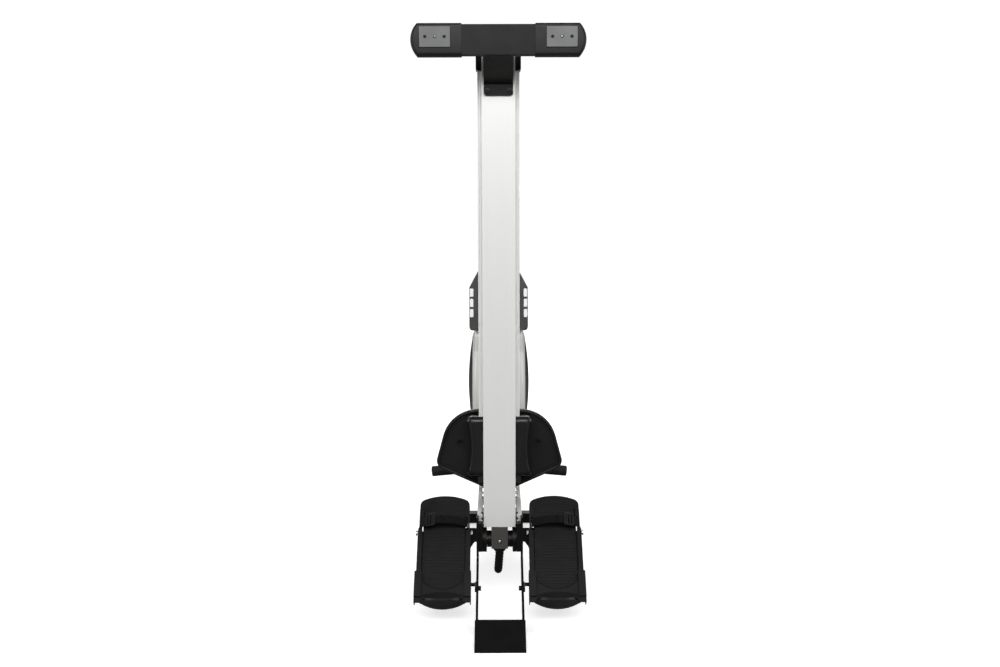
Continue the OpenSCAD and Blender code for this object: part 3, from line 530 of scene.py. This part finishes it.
def on_console(p):
    """Console's frame: across, into its face, and up the face."""
    c, s = math.cos(CONSOLE_TILT), math.sin(CONSOLE_TILT)
    return Vector((p[0], CONSOLE_Y + c * p[1] + s * p[2], CONSOLE_Z - s * p[1] + c * p[2]))


# ---- CAD nodes ------------------------------------------------------------------------------

BEVEL_MM = {
    "rail": 0.7, "main_beam": 1.6, "hinge_cheeks": 1.0, "support_leg": 0.8, "front_stabiliser": 1.2,
    "front_caps": 1.5, "handle_cradle": 0.8, "footplate_left": 0.5, "footplate_right": 0.5,
    "footrest_arms": 0.8, "footrest_stays": 0.8, "lock_bracket": 0.8, "rail_end_cap": 1.6,
    "rear_post": 1.2, "rear_stabiliser": 2.0, "rear_pads": 0.6, "seat_stops": 0.8,
    "seat_pan": 1.2, "seat_carriage": 0.8, "heel_cup_left": 0.9, "heel_cup_right": 0.9,
    "console_case": 2.0, "drive_frame": 0.8, "brake_motor": 1.0,
    "key_left_1": 0.5, "key_left_2": 0.5, "key_left_3": 0.5, "key_right_1": 0.5,
    "key_right_2": 0.5, "key_right_3": 0.5, "frame_fasteners": 0.6, "flywheel": 1.5,
}
# Nodes shown in the look of another slot. For the lock knob this is painted shade: the darker black
# steel stands in for the shade that falls on it, its own slot's material being lighter.
FINISH_AND_SHADE = {"lock_knob": "black_steel", "rail_end_cap": "black_steel"}


def dress_cad():
    """Materials for the CAD nodes, and rounded edges with weighted shading."""
    for name, node in NODES.items():
        mesh = node.data
        mesh.materials.clear()
        mesh.materials.append(MATERIALS[FINISH_AND_SHADE.get(name, SLOT[name])])
        if mesh.has_custom_normals:
            bpy.context.view_layer.objects.active = node
            bpy.ops.mesh.customdata_custom_splitnormals_clear()
        mesh.shade_smooth()
        weld = node.modifiers.new("weld", "WELD")
        weld.merge_threshold = 0.00001
        if name in BEVEL_MM:
            bevel = node.modifiers.new("bevel", "BEVEL")
            bevel.width = BEVEL_MM[name] * MM
            bevel.segments = 2
            bevel.limit_method = "ANGLE"
            bevel.angle_limit = math.radians(32)
            bevel.use_clamp_overlap = True
            shade = node.modifiers.new("shade", "WEIGHTED_NORMAL")
            shade.keep_sharp = False
        else:
            split = node.modifiers.new("split", "EDGE_SPLIT")
            split.split_angle = math.radians(35)


# ---- Housing --------------------------------------------------------------------------------

WHEEL = [v / MM for v in JOINT["flywheel_spin"]["pos_m"]]
DOME_R = (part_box("dome_right")[1].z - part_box("dome_right")[0].z) / 2 / MM
DOME_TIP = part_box("dome_right")[1].x / MM
SHELL_HALF = 85.0
SHELL_THICK = 2.4
HOUSING_HULLS = (
    ((180, 58, *WHEEL[1:]), (174, 76, *WHEEL[1:]), (DOME_R + 3, SHELL_HALF, *WHEEL[1:])),
    ((92, 56, 175, 395), (44, 36, 22, 300)),
    ((92, 56, 175, 395), (150, 56, 330, 400), (172, 58, *WHEEL[1:])),
    ((90, 79, 322, 610), (26, 79, 248, 713), (34, 71, 246, 705)),
)


def hull_of_discs(discs):
    work = bmesh.new()
    for r, half, y, z in discs:
        for x in (-half, half):
            for k in range(96):
                a = 2 * math.pi * k / 96
                work.verts.new((x * MM, (y + r * math.cos(a)) * MM, (z + r * math.sin(a)) * MM))
    bmesh.ops.convex_hull(work, input=work.verts, use_existing_faces=False)
    loose = [v for v in work.verts if not v.link_faces]
    bmesh.ops.delete(work, geom=loose, context="VERTS")
    return work


def housing_body():
    """Both halves of the housing as one softly rounded solid."""
    whole = bmesh.new()
    for discs in HOUSING_HULLS:
        one = hull_of_discs(discs)
        scratch = bpy.data.meshes.new("scratch")
        one.to_mesh(scratch)
        one.free()
        whole.from_mesh(scratch)
        bpy.data.meshes.remove(scratch)
    mesh = bpy.data.meshes.new("housing_body")
    whole.to_mesh(mesh)
    whole.free()
    body = bpy.data.objects.new("housing_body", mesh)
    bpy.context.collection.objects.link(body)
    remesh = body.modifiers.new("remesh", "REMESH")
    remesh.mode = "VOXEL"
    remesh.voxel_size = 0.0035
    soften = body.modifiers.new("soften", "SMOOTH")
    soften.factor = 0.6
    soften.iterations = 9
    use_modifiers(body)
    return body


def cutter(name, parts):
    verts, faces = [], []
    for part_verts, part_faces in parts:
        base = len(verts)
        verts += [Vector(v) * MM for v in part_verts]
        faces += [[base + i for i in face] for face in part_faces]
    mesh = bpy.data.meshes.new(name)
    mesh.from_pydata(verts, [], faces)
    work = bmesh.new()
    work.from_mesh(mesh)
    bmesh.ops.recalc_face_normals(work, faces=work.faces)
    work.to_mesh(mesh)
    work.free()
    obj = bpy.data.objects.new(name, mesh)
    bpy.context.collection.objects.link(obj)
    return obj


def prism_x(outline, x0, x1):
    """Straight prism along X over a (Y, Z) outline."""
    return loft([[(x, y, z) for y, z in outline] for x in (x0, x1)])


def make_housings():
    body = housing_body()
    gap = 0.45
    recess_x = 60.0
    bend_y, bend_z, drop, run = 40, 262.4, 166, 526
    under = [(-120, 100), (760, 0), (760, 34.8), (bend_y + run, bend_z - drop),
             (bend_y, bend_z), (-120, bend_z)]
    cuts = (
        prism_x([(-300, -50), (900, -50), (900, 950), (-300, 950)], -300, gap),
        prism_x(under, -150, 150),
        prism_x([(y, z) for y, z in arc(WHEEL[1:], DOME_R + 0.8, 0, 358, 127)], recess_x, 140),
        prism_x([(-60, 255), (60, 255), (60, 318), (-60, 318)], -1, 18.4),
        prism_x([(-60, 255), (60, 255), (60, 350), (-60, 350)], 17, 30.6),
        prism_x([(190, 703), (236, 703), (236, 745), (190, 745)], -1, 30),
    )
    for i, part in enumerate(cuts):
        tool = cutter(f"tool_{i}", [part])
        cut = body.modifiers.new("cut", "BOOLEAN")
        cut.operation = "DIFFERENCE"
        cut.solver = "EXACT"
        cut.object = tool
        use_modifiers(body)
        bpy.data.objects.remove(tool)
    work = bmesh.new()
    work.from_mesh(body.data)
    open_faces = []
    for face in work.faces:
        x, y, z = face.calc_center_median() / MM
        flat = abs(face.normal.x) > 0.999
        if flat and (abs(x - gap) < 0.01 or abs(x - recess_x) < 0.01):
            open_faces.append(face)
        elif z < bend_z + 0.1 and y < bend_y and face.normal.z < -0.999:
            open_faces.append(face)
        elif (y >= bend_y and abs((z - bend_z) + (y - bend_y) * drop / run) < 0.6
              and face.normal.z < -0.8):
            open_faces.append(face)
    bmesh.ops.delete(work, geom=open_faces, context="FACES")
    work.to_mesh(body.data)
    work.free()
    thick = body.modifiers.new("thick", "SOLIDIFY")
    thick.thickness = SHELL_THICK * MM
    thick.offset = -1
    use_modifiers(body)
    finish_mesh(body, "shell_plastic", 32.0)
    body.name = "housing_shell_right"
    left = body.copy()
    left.data = body.data.copy()
    left.name = "housing_shell_left"
    left.data.transform(Matrix.Scale(-1, 4, (1, 0, 0)))
    left.data.flip_normals()
    bpy.context.collection.objects.link(left)
    for obj, node in ((body, "housing_right"), (left, "housing_left")):
        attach(obj, "frame")
        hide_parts(node)


def make_domes():
    """Shallow domes of perforated sheet in hexagonal cells, inside a plain rim."""
    pitch, hole, rim = 6.6, 2.45, 7.0
    sheet = 1.6
    rise = DOME_TIP - SHELL_HALF + 0.5
    ball = (DOME_R * DOME_R + rise * rise) / (2 * rise)

    def lift(y, z, depth=0.0):
        x = DOME_TIP - ball + math.sqrt((ball - depth) ** 2 - y * y - z * z)
        return Vector((x, WHEEL[1] + y, WHEEL[2] + z))

    outer, faces, index = [], [], {}

    def corner(y, z):
        key = (round(y, 2), round(z, 2))
        if key not in index:
            index[key] = len(outer)
            outer.append((y, z))
        return index[key]

    limit = DOME_R - rim
    row_step = pitch * 0.8660254
    rows = int(DOME_R / row_step) + 1
    for row in range(-rows, rows + 1):
        for col in range(-rows, rows + 1):
            cy, cz = pitch * (col + 0.5 * (row % 2)), row_step * row
            if math.hypot(cy, cz) > limit + 1:
                continue
            ring = [corner(cy + pitch / math.sqrt(3) * math.sin(math.pi / 3 * k),
                           cz + pitch / math.sqrt(3) * math.cos(math.pi / 3 * k))
                    for k in range(6)]
            base = len(outer)
            outer.extend((cy + hole * math.sin(math.pi / 3 * k),
                          cz + hole * math.cos(math.pi / 3 * k)) for k in range(6))
            faces += [[ring[k], ring[(k + 1) % 6], base + (k + 1) % 6, base + k] for k in range(6)]
    count = len(outer)
    verts = [lift(y, z) for y, z in outer] + [lift(y, z, sheet) for y, z in outer]
    edges = {}
    for face in faces:
        for k, a in enumerate(face):
            b = face[(k + 1) % len(face)]
            edges[(a, b)] = edges.get((a, b), 0) + 1
    walls = [[a, b, b + count, a + count] for a, b in edges if (b, a) not in edges]
    sheet_part = (verts, faces + [[i + count for i in face][::-1] for face in faces] + walls)

    def rim_point(r, depth):
        return (r, lift(r, 0, depth).x)

    profile = [rim_point(DOME_R - inset, depth)
               for inset, depth in ((rim + 1, -0.3), (rim + 0.4, -0.8), (4, -0.8), (0.6, -0.2),
                                    (0.2, 1), (0.2, 6), (3, 6), (rim + 1, 2))]
    rim_part = lathe(profile, (0, WHEEL[1], WHEEL[2]), (1, 0, 0), 128, True)
    for side, node in ((1, "dome_right"), (-1, "dome_left")):
        parts = [sheet_part, rim_part]
        if side < 0:
            parts = [mirrored(part) for part in parts]
        add_piece(f"{node}_mesh", parts, "mesh_black", "frame", (node,), 30.0)


# ---- Seat -----------------------------------------------------------------------------------

SEAT_W = (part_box("seat_pan")[1].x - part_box("seat_pan")[0].x) / MM
CUSHION_PRESSURE = 4.0
CUSHION_FRAMES = 20
CUSHION_SWELL = 6.0


def seat_outline(g):
    half = (arc((0, 18), 140 - g, -90, -66.5, 8)
            + arc((SEAT_W / 2 - 27, -38), 27 - g, -66.5, 14, 8)
            + arc((60, 6), 104 - g, 14, 90, 14))
    return half + [(-x, z) for x, z in half[::-1]]


def even_ring(points, count):
    """The same closed outline with evenly spaced points."""
    loop = [Vector(p) for p in points]
    loop = [p for i, p in enumerate(loop) if (p - loop[i - 1]).length > 0.05]
    spans = [(loop[(i + 1) % len(loop)] - p).length for i, p in enumerate(loop)]
    total, out, i, done = sum(spans), [], 0, 0.0
    for k in range(count):
        target = total * k / count
        while done + spans[i] < target:
            done += spans[i]
            i += 1
        out.append(loop[i].lerp(loop[(i + 1) % len(loop)], (target - done) / spans[i]))
    return out


def seat_ring(g, y, count=120):
    return [Vector((p.x, y, SEAT_Z + p.y)) for p in even_ring(seat_outline(g), count)]


def make_cushion():
    """Upholstered pad, swollen by cloth pressure from a slightly smaller shape."""
    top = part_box("seat_cushion")[1].y / MM
    base = PAN_Y + 0.3
    rings = [seat_ring(16, base + 1), seat_ring(6, base + 1), seat_ring(4, base + 6),
             seat_ring(4, top - 17), seat_ring(7, top - 9), seat_ring(15, top - 5),
             seat_ring(30, top - 3.4)]
    verts, faces = loft(rings)
    mesh = bpy.data.meshes.new("seat_cushion_pad")
    mesh.from_pydata([v * MM for v in verts], [], faces)
    pad = bpy.data.objects.new("seat_cushion_pad", mesh)
    bpy.context.collection.objects.link(pad)
    remesh = pad.modifiers.new("remesh", "REMESH")
    remesh.mode = "VOXEL"
    remesh.voxel_size = 0.005
    use_modifiers(pad)
    rest = [v.co.copy() for v in pad.data.vertices]
    scene = bpy.context.scene
    cloth = pad.modifiers.new("cloth", "CLOTH")
    cloth.settings.use_pressure = True
    cloth.settings.uniform_pressure_force = CUSHION_PRESSURE
    cloth.settings.effector_weights.gravity = 0.0
    for number in range(1, CUSHION_FRAMES + 1):
        scene.frame_set(number)
    graph = bpy.context.evaluated_depsgraph_get()
    swollen = [v.co.copy() for v in pad.evaluated_get(graph).data.vertices]
    pad.modifiers.clear()
    scene.frame_set(1)
    most = CUSHION_SWELL * MM
    for vert, before, after in zip(pad.data.vertices, rest, swollen):
        move = after - before
        if move.length > most:
            move *= most / move.length
        vert.co = before + move
    for vert in pad.data.vertices:
        vert.co.y = max(vert.co.y, base * MM)
    divide = pad.modifiers.new("divide", "SUBSURF")
    divide.levels = divide.render_levels = 1
    use_modifiers(pad)
    for vert in pad.data.vertices:
        vert.co.y = min(max(vert.co.y, base * MM), (top + 4) * MM)
    finish_mesh(pad, "seat_cover", 80.0)
    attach(pad, "seat")
    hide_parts("seat_cushion")
    tree = BVHTree.FromPolygons([v.co[:] for v in pad.data.vertices],
                                [list(p.vertices) for p in pad.data.polygons])
    seam = []
    centre = Vector((0, 0, SEAT_Z)) * MM
    for point in seat_ring(0, top - 12, 160):
        start = point * MM
        inward = Vector((centre.x - start.x, 0, centre.z - start.z)).normalized()
        hit = tree.ray_cast(start - inward * 0.02, inward, 0.2)[0]
        if hit:
            seam.append(hit / MM - inward * 0.3)
    add_piece("seat_cushion_seam", [tube(seam, 1.5, True, 8)], "seat_cover", "seat")


def make_seat_trim():
    """Bead round the pan's rim."""
    pan_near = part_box("seat_pan")[0].y / MM
    rim = seat_ring(4.6, pan_near + 4.4, 200)
    add_piece("seat_pan_bead", [tube(rim, 4.9, True, 16)], "black_plastic", "seat")


def make_covers():
    """Glossy covers over the rollers: waisted, with rounded corners and a broad rounded edge."""
    low, high = (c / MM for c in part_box("carriage_covers"))
    waist, corner, inner = 12.0, 13.0, 45.9
    outer = high.x + 3.5
    half_len = (high.z - low.z) / 2
    middle = (low.z + high.z) / 2
    r = (half_len * half_len + waist * waist) / (2 * waist)

    def ring(inset, y):
        """Outline in X and Z of one cover: flat beside the rail, waisted on the outside."""
        end = half_len - inset
        points = [(inner, -end), (outer - inset - corner, -end)]
        points += [(outer - inset - corner + corner * math.sin(a),
                    -end + corner - corner * math.cos(a))
                   for a in (math.radians(15 * k) for k in range(1, 6))]
        span = end - corner
        for k in range(21):
            z = -span + 2 * span * k / 20
            points.append((outer - waist - inset + r - math.sqrt(r * r - z * z), z))
        points += [(x, -z) for x, z in points[6:1:-1]]
        points += [(outer - inset - corner, end), (inner, end)]
        return [(x, y, middle + z) for x, z in points]

    layers = [(19.0, low.y + 0.4), (15.0, low.y), (10.5, low.y + 0.9), (6.6, low.y + 2.9),
              (3.4, low.y + 5.8), (1.2, low.y + 9.4), (0.2, low.y + 13.2), (0.0, low.y + 17.0),
              (1.4, low.y + 20.0), (2.0, low.y + 24.0), (1.6, high.y - 8.0), (1.0, high.y)]
    outside = [ring(inset, y) for inset, y in layers]
    inside = [ring(3.6, high.y), ring(4.8, low.y + 24.0), ring(19.0, low.y + 5.5)]
    skin = loft(outside + inside, cap=False)
    n = len(outside[0])
    front = len(skin[0])
    face = [front - n + k for k in range(n)]
    near = list(range(n))[::-1]
    part = (skin[0], skin[1] + [near, face])
    add_piece("cover_shells", [part, mirrored(part)], "gloss_black", "seat",
              ("carriage_covers",), 40.0)


def make_rear_caps():
    """Moulded ends of the rear foot: bowed outer edge, all edges well rounded."""
    low, high = (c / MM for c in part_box("rear_caps"))
    half = (high.z - low.z) / 2
    middle, tip, inner, bow = (low.z + high.z) / 2, high.x, 93.0, 17.0
    r = (half * half + bow * bow) / (2 * bow)

    def ring(inset, y):
        h = half - inset
        points = [(inner, -h), (inner + 20, -h), (inner + 45, -h)]
        for k in range(25):
            z = -h + 2 * h * k / 24
            points.append((tip - r + math.sqrt((r - inset) ** 2 - z * z), z))
        points += [(inner + 45, h), (inner + 20, h), (inner, h)]
        return [(x, y, middle + z) for x, z in points]

    near, far = low.y, high.y
    rings = [ring(g, near + d)
             for g, d in ((9, 0), (5.5, 0.4), (3, 1.6), (1.2, 3.8), (0.3, 7), (0, 12))]
    rings += [ring(g, far - d) for g, d in ((0, 10), (0.6, 5), (2.2, 1.8), (5, 0.3), (8, 0))]
    part = loft(rings)
    add_piece("rear_cap_ends", [part, mirrored(part)], "black_plastic", "rail_assembly",
              ("rear_caps",), 45.0)


# ---- Footrests ------------------------------------------------------------------------------

HEEL_PAD_W = 11.0
STRAP_V, STRAP_HALF, STRAP_UP, STRAP_RISE = 75.0, 64.0, 9.0, 35.0
BUCKLE_HALF = 17.5
MARK_U, MARK_STEP = 67.2, 8.2


def strap_path(grow=0.0, u0=-STRAP_HALF, u1=STRAP_HALF, n=40):
    bow = STRAP_RISE - STRAP_UP
    r = (STRAP_HALF * STRAP_HALF + bow * bow) / (2 * bow)
    return [(u, STRAP_V, STRAP_RISE - r + math.sqrt((r + grow) ** 2 - u * u))
            for u in (u0 + (u1 - u0) * i / n for i in range(n + 1))]


def make_straps():
    """Webbing over each foot, threaded through a ladder buckle, with its free tail."""
    across = Vector((0, Q, Q))
    for side, name in ((1, "right"), (-1, "left")):
        def place(p):
            world = on_foot(p)
            return Vector((side * world.x, world.y, world.z))

        arch = strap_path()
        legs = [(-STRAP_HALF, STRAP_V, w) for w in (-16, -8, 0, 6)]
        path = legs + arch + [(-u, v, w) for u, v, w in legs[::-1]]
        ribbon(f"foot_strap_{name}", [place(p) for p in path], across, 27, 1.9, "webbing",
               "frame", ("foot_straps",))
        tail = strap_path(3.0, 57, 8, 24)
        tail = [(u, v, w + 0.7 * math.sin(i * 0.9)) for i, (u, v, w) in enumerate(tail)]
        ribbon(f"foot_strap_tail_{name}", [place(p) for p in tail], across, 26, 1.7, "webbing",
               "frame")
        parts = []
        frame_path = strap_path(4.2, 27, 49, 8)
        for end in (-BUCKLE_HALF, BUCKLE_HALF):
            parts.append(tube([place((u, v + end, w)) for u, v, w in frame_path], 2.2))
        for i in (0, 2, 5, 8):
            u, v, w = frame_path[i]
            lift = 1.2 if i in (2, 5) else 0.0
            parts.append(tube([place((u, v + t, w + lift))
                               for t in (-BUCKLE_HALF, -15, 15, BUCKLE_HALF)], 2.1))
        stands = ("strap_buckles",) if side > 0 else ()
        piece = add_piece(f"strap_buckle_{name}", parts, "black_plastic", "frame", stands, 50.0)
        piece.data.shade_smooth()


def make_footrest_trim():
    """Painted shade: a dark line along both sides of the ribbed tread for the shadow in its
    grooves, and a thin dark sheet with a dark line round its rim for the shaded recess between each
    heel pad and its wall.
    """
    # Painted shade: this dark line stands in for the shadow in the groove between the ribbed tread
    # and its side rail.
    line = [(-58.4, -66, 1.2), (-58.4, 60, 1.2), (-57.8, 100, 1.2), (-57.4, 126, 1.2)]
    edge = [tube([on_foot((side * u, v, w)) for u, v, w in line], 0.8) for side in (1, -1)]
    add_piece("tread_groove_shade_right", edge, "black_steel", "frame")
    add_piece("tread_groove_shade_left", [mirrored(part) for part in edge], "black_steel", "frame")
    # Painted shade: a thin dark sheet stands in for the shaded recess between the heel pad and its
    # wall, and a dark tube along the pad's curved edge stands in for the shade line there.
    top = [(u, -132.5 - 9.0 * (u / 56) ** 2) for u in range(-56, 57, 4)]
    low = [(u, -152.0 + 7.0 * (u / 56) ** 2) for u in range(56, -57, -4)]
    shade_sheet = loft([[on_foot((u, v, w)) for u, v in top + low]
                   for w in (HEEL_PAD_W - 0.5, HEEL_PAD_W + 0.5)])
    shade_line = tube([on_foot((69.6 * math.sin(math.radians(a)), -55 - 69.6 * math.cos(math.radians(a)),
                         HEEL_PAD_W)) for a in range(-54, 55, 4)], 0.9)
    add_piece("heel_painted_shade_right", [shade_sheet, shade_line], "black_steel", "right_heel_cup")
    add_piece("heel_painted_shade_left", [mirrored(shade_sheet), mirrored(shade_line)], "black_steel", "left_heel_cup")


def make_foot_marks():
    """Raised size ticks along both side rails of each footrest."""
    parts = []
    for sign in (1, -1):
        for i in range(12):
            v = -54 + MARK_STEP * i
            half = 2.2 if i % 2 else 3.6
            tick = bar((MARK_U * sign - half, v - 0.7, 7.6),
                       (MARK_U * sign + half, v + 0.7, 8.35), 0.25)
            parts.append(placed(tick, on_foot))
    add_piece("foot_marks_right", parts, "black_plastic", "frame")
    add_piece("foot_marks_left", [mirrored(part) for part in parts], "black_plastic", "frame")


# ---- Handle and strap -----------------------------------------------------------------------

HANDLE_Y, HANDLE_Z = -45.0, 348.0
PULL_W, PULL_THICK = 24.4, 1.4


def make_pull_strap():
    """Strap from the drum under the guide bar and up to a sewn loop through the handle's lug."""
    drum_y, drum_z = (v / MM for v in JOINT["drum_turn"]["pos_m"][1:])
    guide_y, guide_z, reach = -34.0, 292.0, 12.0
    path = [(0, drum_y - 10 + (guide_y - drum_y + 10) * t / 12,
             drum_z - 31.2 + (guide_z - reach - drum_z + 31.2) * t / 12) for t in range(12)]
    path += [(0, guide_y + reach * math.cos(a), guide_z + reach * math.sin(a))
             for a in (math.radians(-90 - 9 * i) for i in range(10))]
    ribbon("pull_strap_feed", path, (1, 0, 0), PULL_W, PULL_THICK, "webbing", "frame")
    rise = 20.0
    path = [(0, guide_y - reach + i / 40, guide_z + rise * i / 40) for i in range(41)]
    loop = [(-42.8, 314.5), (-40.9, 317), (-40.6, 321), (-41.6, 323.6), (-43.4, 324.2),
            (-46.6, 324.2), (-48.4, 323.6), (-49.4, 321), (-49.2, 317), (-47.6, 314),
            (-47.4, 304), (-47.7, 299)]
    path += [(0, y, z) for y, z in loop]
    strap = ribbon("pull_strap_web", path, (1, 0, 0), PULL_W, PULL_THICK, "webbing")
    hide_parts("pull_strap")
    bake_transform(strap)


def make_grips():
    """Foam grips with fine turned rings and a rounded plastic end."""
    droop = math.radians(5)
    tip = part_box("handle_grips")[1].x / MM
    start = 64.0
    length = (tip - start) / math.cos(droop) - 2
    profile = [(12.2, 0), (14.6, 0), (15.4, 1.2)]
    steps = 42
    for i in range(steps):
        h = 3 + (length - 14) * i / steps
        profile += [(15.5, h), (15.1, h + 1.1), (15.5, h + 2.2)]
    profile += [(15.5, length - 9), (15.0, length - 8.4), (15.5, length - 7.8), (15.4, length - 3),
                (14.2, length - 1), (11.5, length), (4, length + 0.4)]
    axis = Vector((math.cos(droop), 0, -math.sin(droop)))
    origin = Vector((60, HANDLE_Y, HANDLE_Z)) + axis * 4
    grip = lathe(profile, origin, axis, 40)
    add_piece("handle_grip_foam", [grip, mirrored(grip)], "black_rubber", "handle",
              ("handle_grips",), 50.0)


# ---- Small turned parts ---------------------------------------------------------------------

def button_head(origin, axis, r, drop=0.0):
    """Button-head screw with a hexagon socket."""
    socket = r * 0.45
    return lathe([(r, drop), (r, drop + 0.2 * r), (0.93 * r, drop + 0.32 * r),
                  (0.78 * r, drop + 0.42 * r), (0.6 * r, drop + 0.48 * r), (socket, drop + 0.5 * r),
                  (socket * 0.94, drop + 0.45 * r), (socket * 0.9, drop - 0.3 * r)],
                 origin, axis, 30)


POST_BOLT_S, PAD_S = 1198, 1315
POST_BOLT_X, PAD_X, PLUG_STEP = 30, 160, 24.3
SEAT_SCREW_X = 111


def make_fastenings():
    """Post bolts, pad screws and plugs, the stud behind the sight hole and the seat screws."""
    under = HINGE[1] - 36
    bolt_z = RAIL_START + POST_BOLT_S
    heads = [button_head((x, under, bolt_z), (0, -1, 0), 7.6)
             for x in (-POST_BOLT_X, POST_BOLT_X)]
    add_piece("post_bolt_heads", heads, "gloss_black", "rail_assembly")
    pad_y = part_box("rear_pads")[0].y / MM
    pad_z = RAIL_START + PAD_S
    screws = [button_head((x, pad_y + 0.9, pad_z), (0, -1, 0), 2.9, -0.3)
              for x in (-PAD_X, PAD_X)]
    add_piece("pad_screw_heads", screws, "zinc", "rail_assembly")
    dark = [lathe([(3.9, 0), (3.9, 0.8), (2.2, 1.2), (1.2, 0.9)],
                  (x + off, pad_y + 2.4, pad_z), (0, -1, 0), 24)
            for x in (-PAD_X, PAD_X) for off in (-PLUG_STEP, PLUG_STEP)]
    add_piece("pad_plug_heads", dark, "black_steel", "rail_assembly")
    stud = lathe([(4.5, 0), (4.5, 0.5), (3.9, 0.9), (0.4, 1.0)],
                 (0, HINGE[1] - 25.2, HINGE[2] - 1.5), (0, -1, 0), 28)
    add_piece("sight_stud", [stud], "zinc", "rail_assembly")
    seat_z = (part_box("seat_screws")[0].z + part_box("seat_screws")[1].z) / 2 / MM
    seat_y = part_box("seat_screws")[0].y / MM
    recess = [(5.9, 0), (5.9, 1.2), (5.4, 1.7), (4.9, 1.5), (4.7, -1.6), (0.6, -1.8)]
    parts = [lathe(recess, (x, seat_y + 2.2, seat_z), (0, -1, 0), 30)
             for x in (-SEAT_SCREW_X, SEAT_SCREW_X)]
    add_piece("seat_screw_heads", parts, "black_steel", "seat", ("seat_screws",))


def make_wheels():
    """Transport wheels: a tyre with a groove round it and a flat face either side."""
    for side in ("left", "right"):
        node = f"transport_wheel_{side}"
        low, high = (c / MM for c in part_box(node))
        middle, r = (low + high) / 2, (high.z - low.z) / 2
        half = (high.x - low.x) / 2
        profile = [(4.1, -half), (7.5, -half), (8.2, -half + 1.6), (r - 6, -half + 1.6),
                   (r - 5, -half + 0.2), (r - 1.6, -half + 0.2), (r, -half + 2), (r, -3.2),
                   (r - 1.1, -2.6), (r - 1.1, 2.6), (r, 3.2), (r, half - 2), (r - 1.6, half - 0.2),
                   (r - 5, half - 0.2), (r - 6, half - 1.6), (8.2, half - 1.6), (7.5, half),
                   (4.1, half)]
        part = lathe(profile, middle, (1, 0, 0), 64, True)
        add_piece(f"{node}_tyre", [part], "black_rubber", f"{side}_wheel", (node,), 30.0)


# ---- Console --------------------------------------------------------------------------------

def zero(x, z, h):
    """Six bars of a seven-segment nought, h mm high."""
    w, t = h * 0.5, h * 0.1
    bars = ((0, h - t, w, h), (0, 0, w, t), (0, h / 2, t, h), (w - t, h / 2, w, h),
            (0, 0, t, h / 2), (w - t, 0, w, h / 2))
    gap = 0.15
    return [placed(bar((x + a + gap, -0.35, z + b + gap), (x + c - gap, 0.05, z + d - gap), 0.1),
                   on_console)
            for a, b, c, d in bars]


def make_display():
    """Dark window with a raised edge, a pale panel behind it and zeroed counters."""
    half, low, high = 57.8, 33.0, 171.0

    def corners(inset, y, r=4.0):
        x, lo, hi = half - inset, low + inset, high - inset
        pts = (arc((x - r, lo + r), r, -90, 0, 5) + arc((x - r, hi - r), r, 0, 90, 5)
               + arc((-x + r, hi - r), r, 90, 180, 5) + arc((-x + r, lo + r), r, 180, 270, 5))
        return [on_console((a, y, b)) for a, b in pts]

    bezel = loft([corners(4, 0.6), corners(4, -1.0), corners(3, -1.9), corners(0.6, -1.9),
                  corners(-1.5, -0.9), corners(-1.5, 0.4)], cap=False)
    add_piece("console_bezel", [bezel], "gloss_black", "console")
    panel = loft([corners(10, 0.2), corners(10, 0.0), corners(11, -0.15)])
    add_piece("console_panel", [panel], "lcd", "console")
    parts = []
    for row in (142, 116, 88, 60):
        for i in range(4):
            parts += zero(-32 + i * 14 + (6 if i > 1 else 0), row, 16)
        for z in (row + 4, row + 11):
            parts.append(placed(bar((-4.6, -0.35, z), (-3.0, 0.05, z + 1.6), 0.1), on_console))
    for z in (136, 108, 81):
        parts.append(placed(bar((-44, -0.3, z), (44, 0.05, z + 0.8), 0.1), on_console))
    add_piece("console_figures", parts, "screen", "console")


# ---- Scene ----------------------------------------------------------------------------------

make_camera()
MATERIALS = make_materials()
make_studio()
dress_cad()
make_housings()
make_domes()
make_cushion()
make_seat_trim()
make_covers()
make_rear_caps()
make_straps()
make_foot_marks()
make_footrest_trim()
make_pull_strap()
make_grips()
make_fastenings()
make_wheels()
make_display()
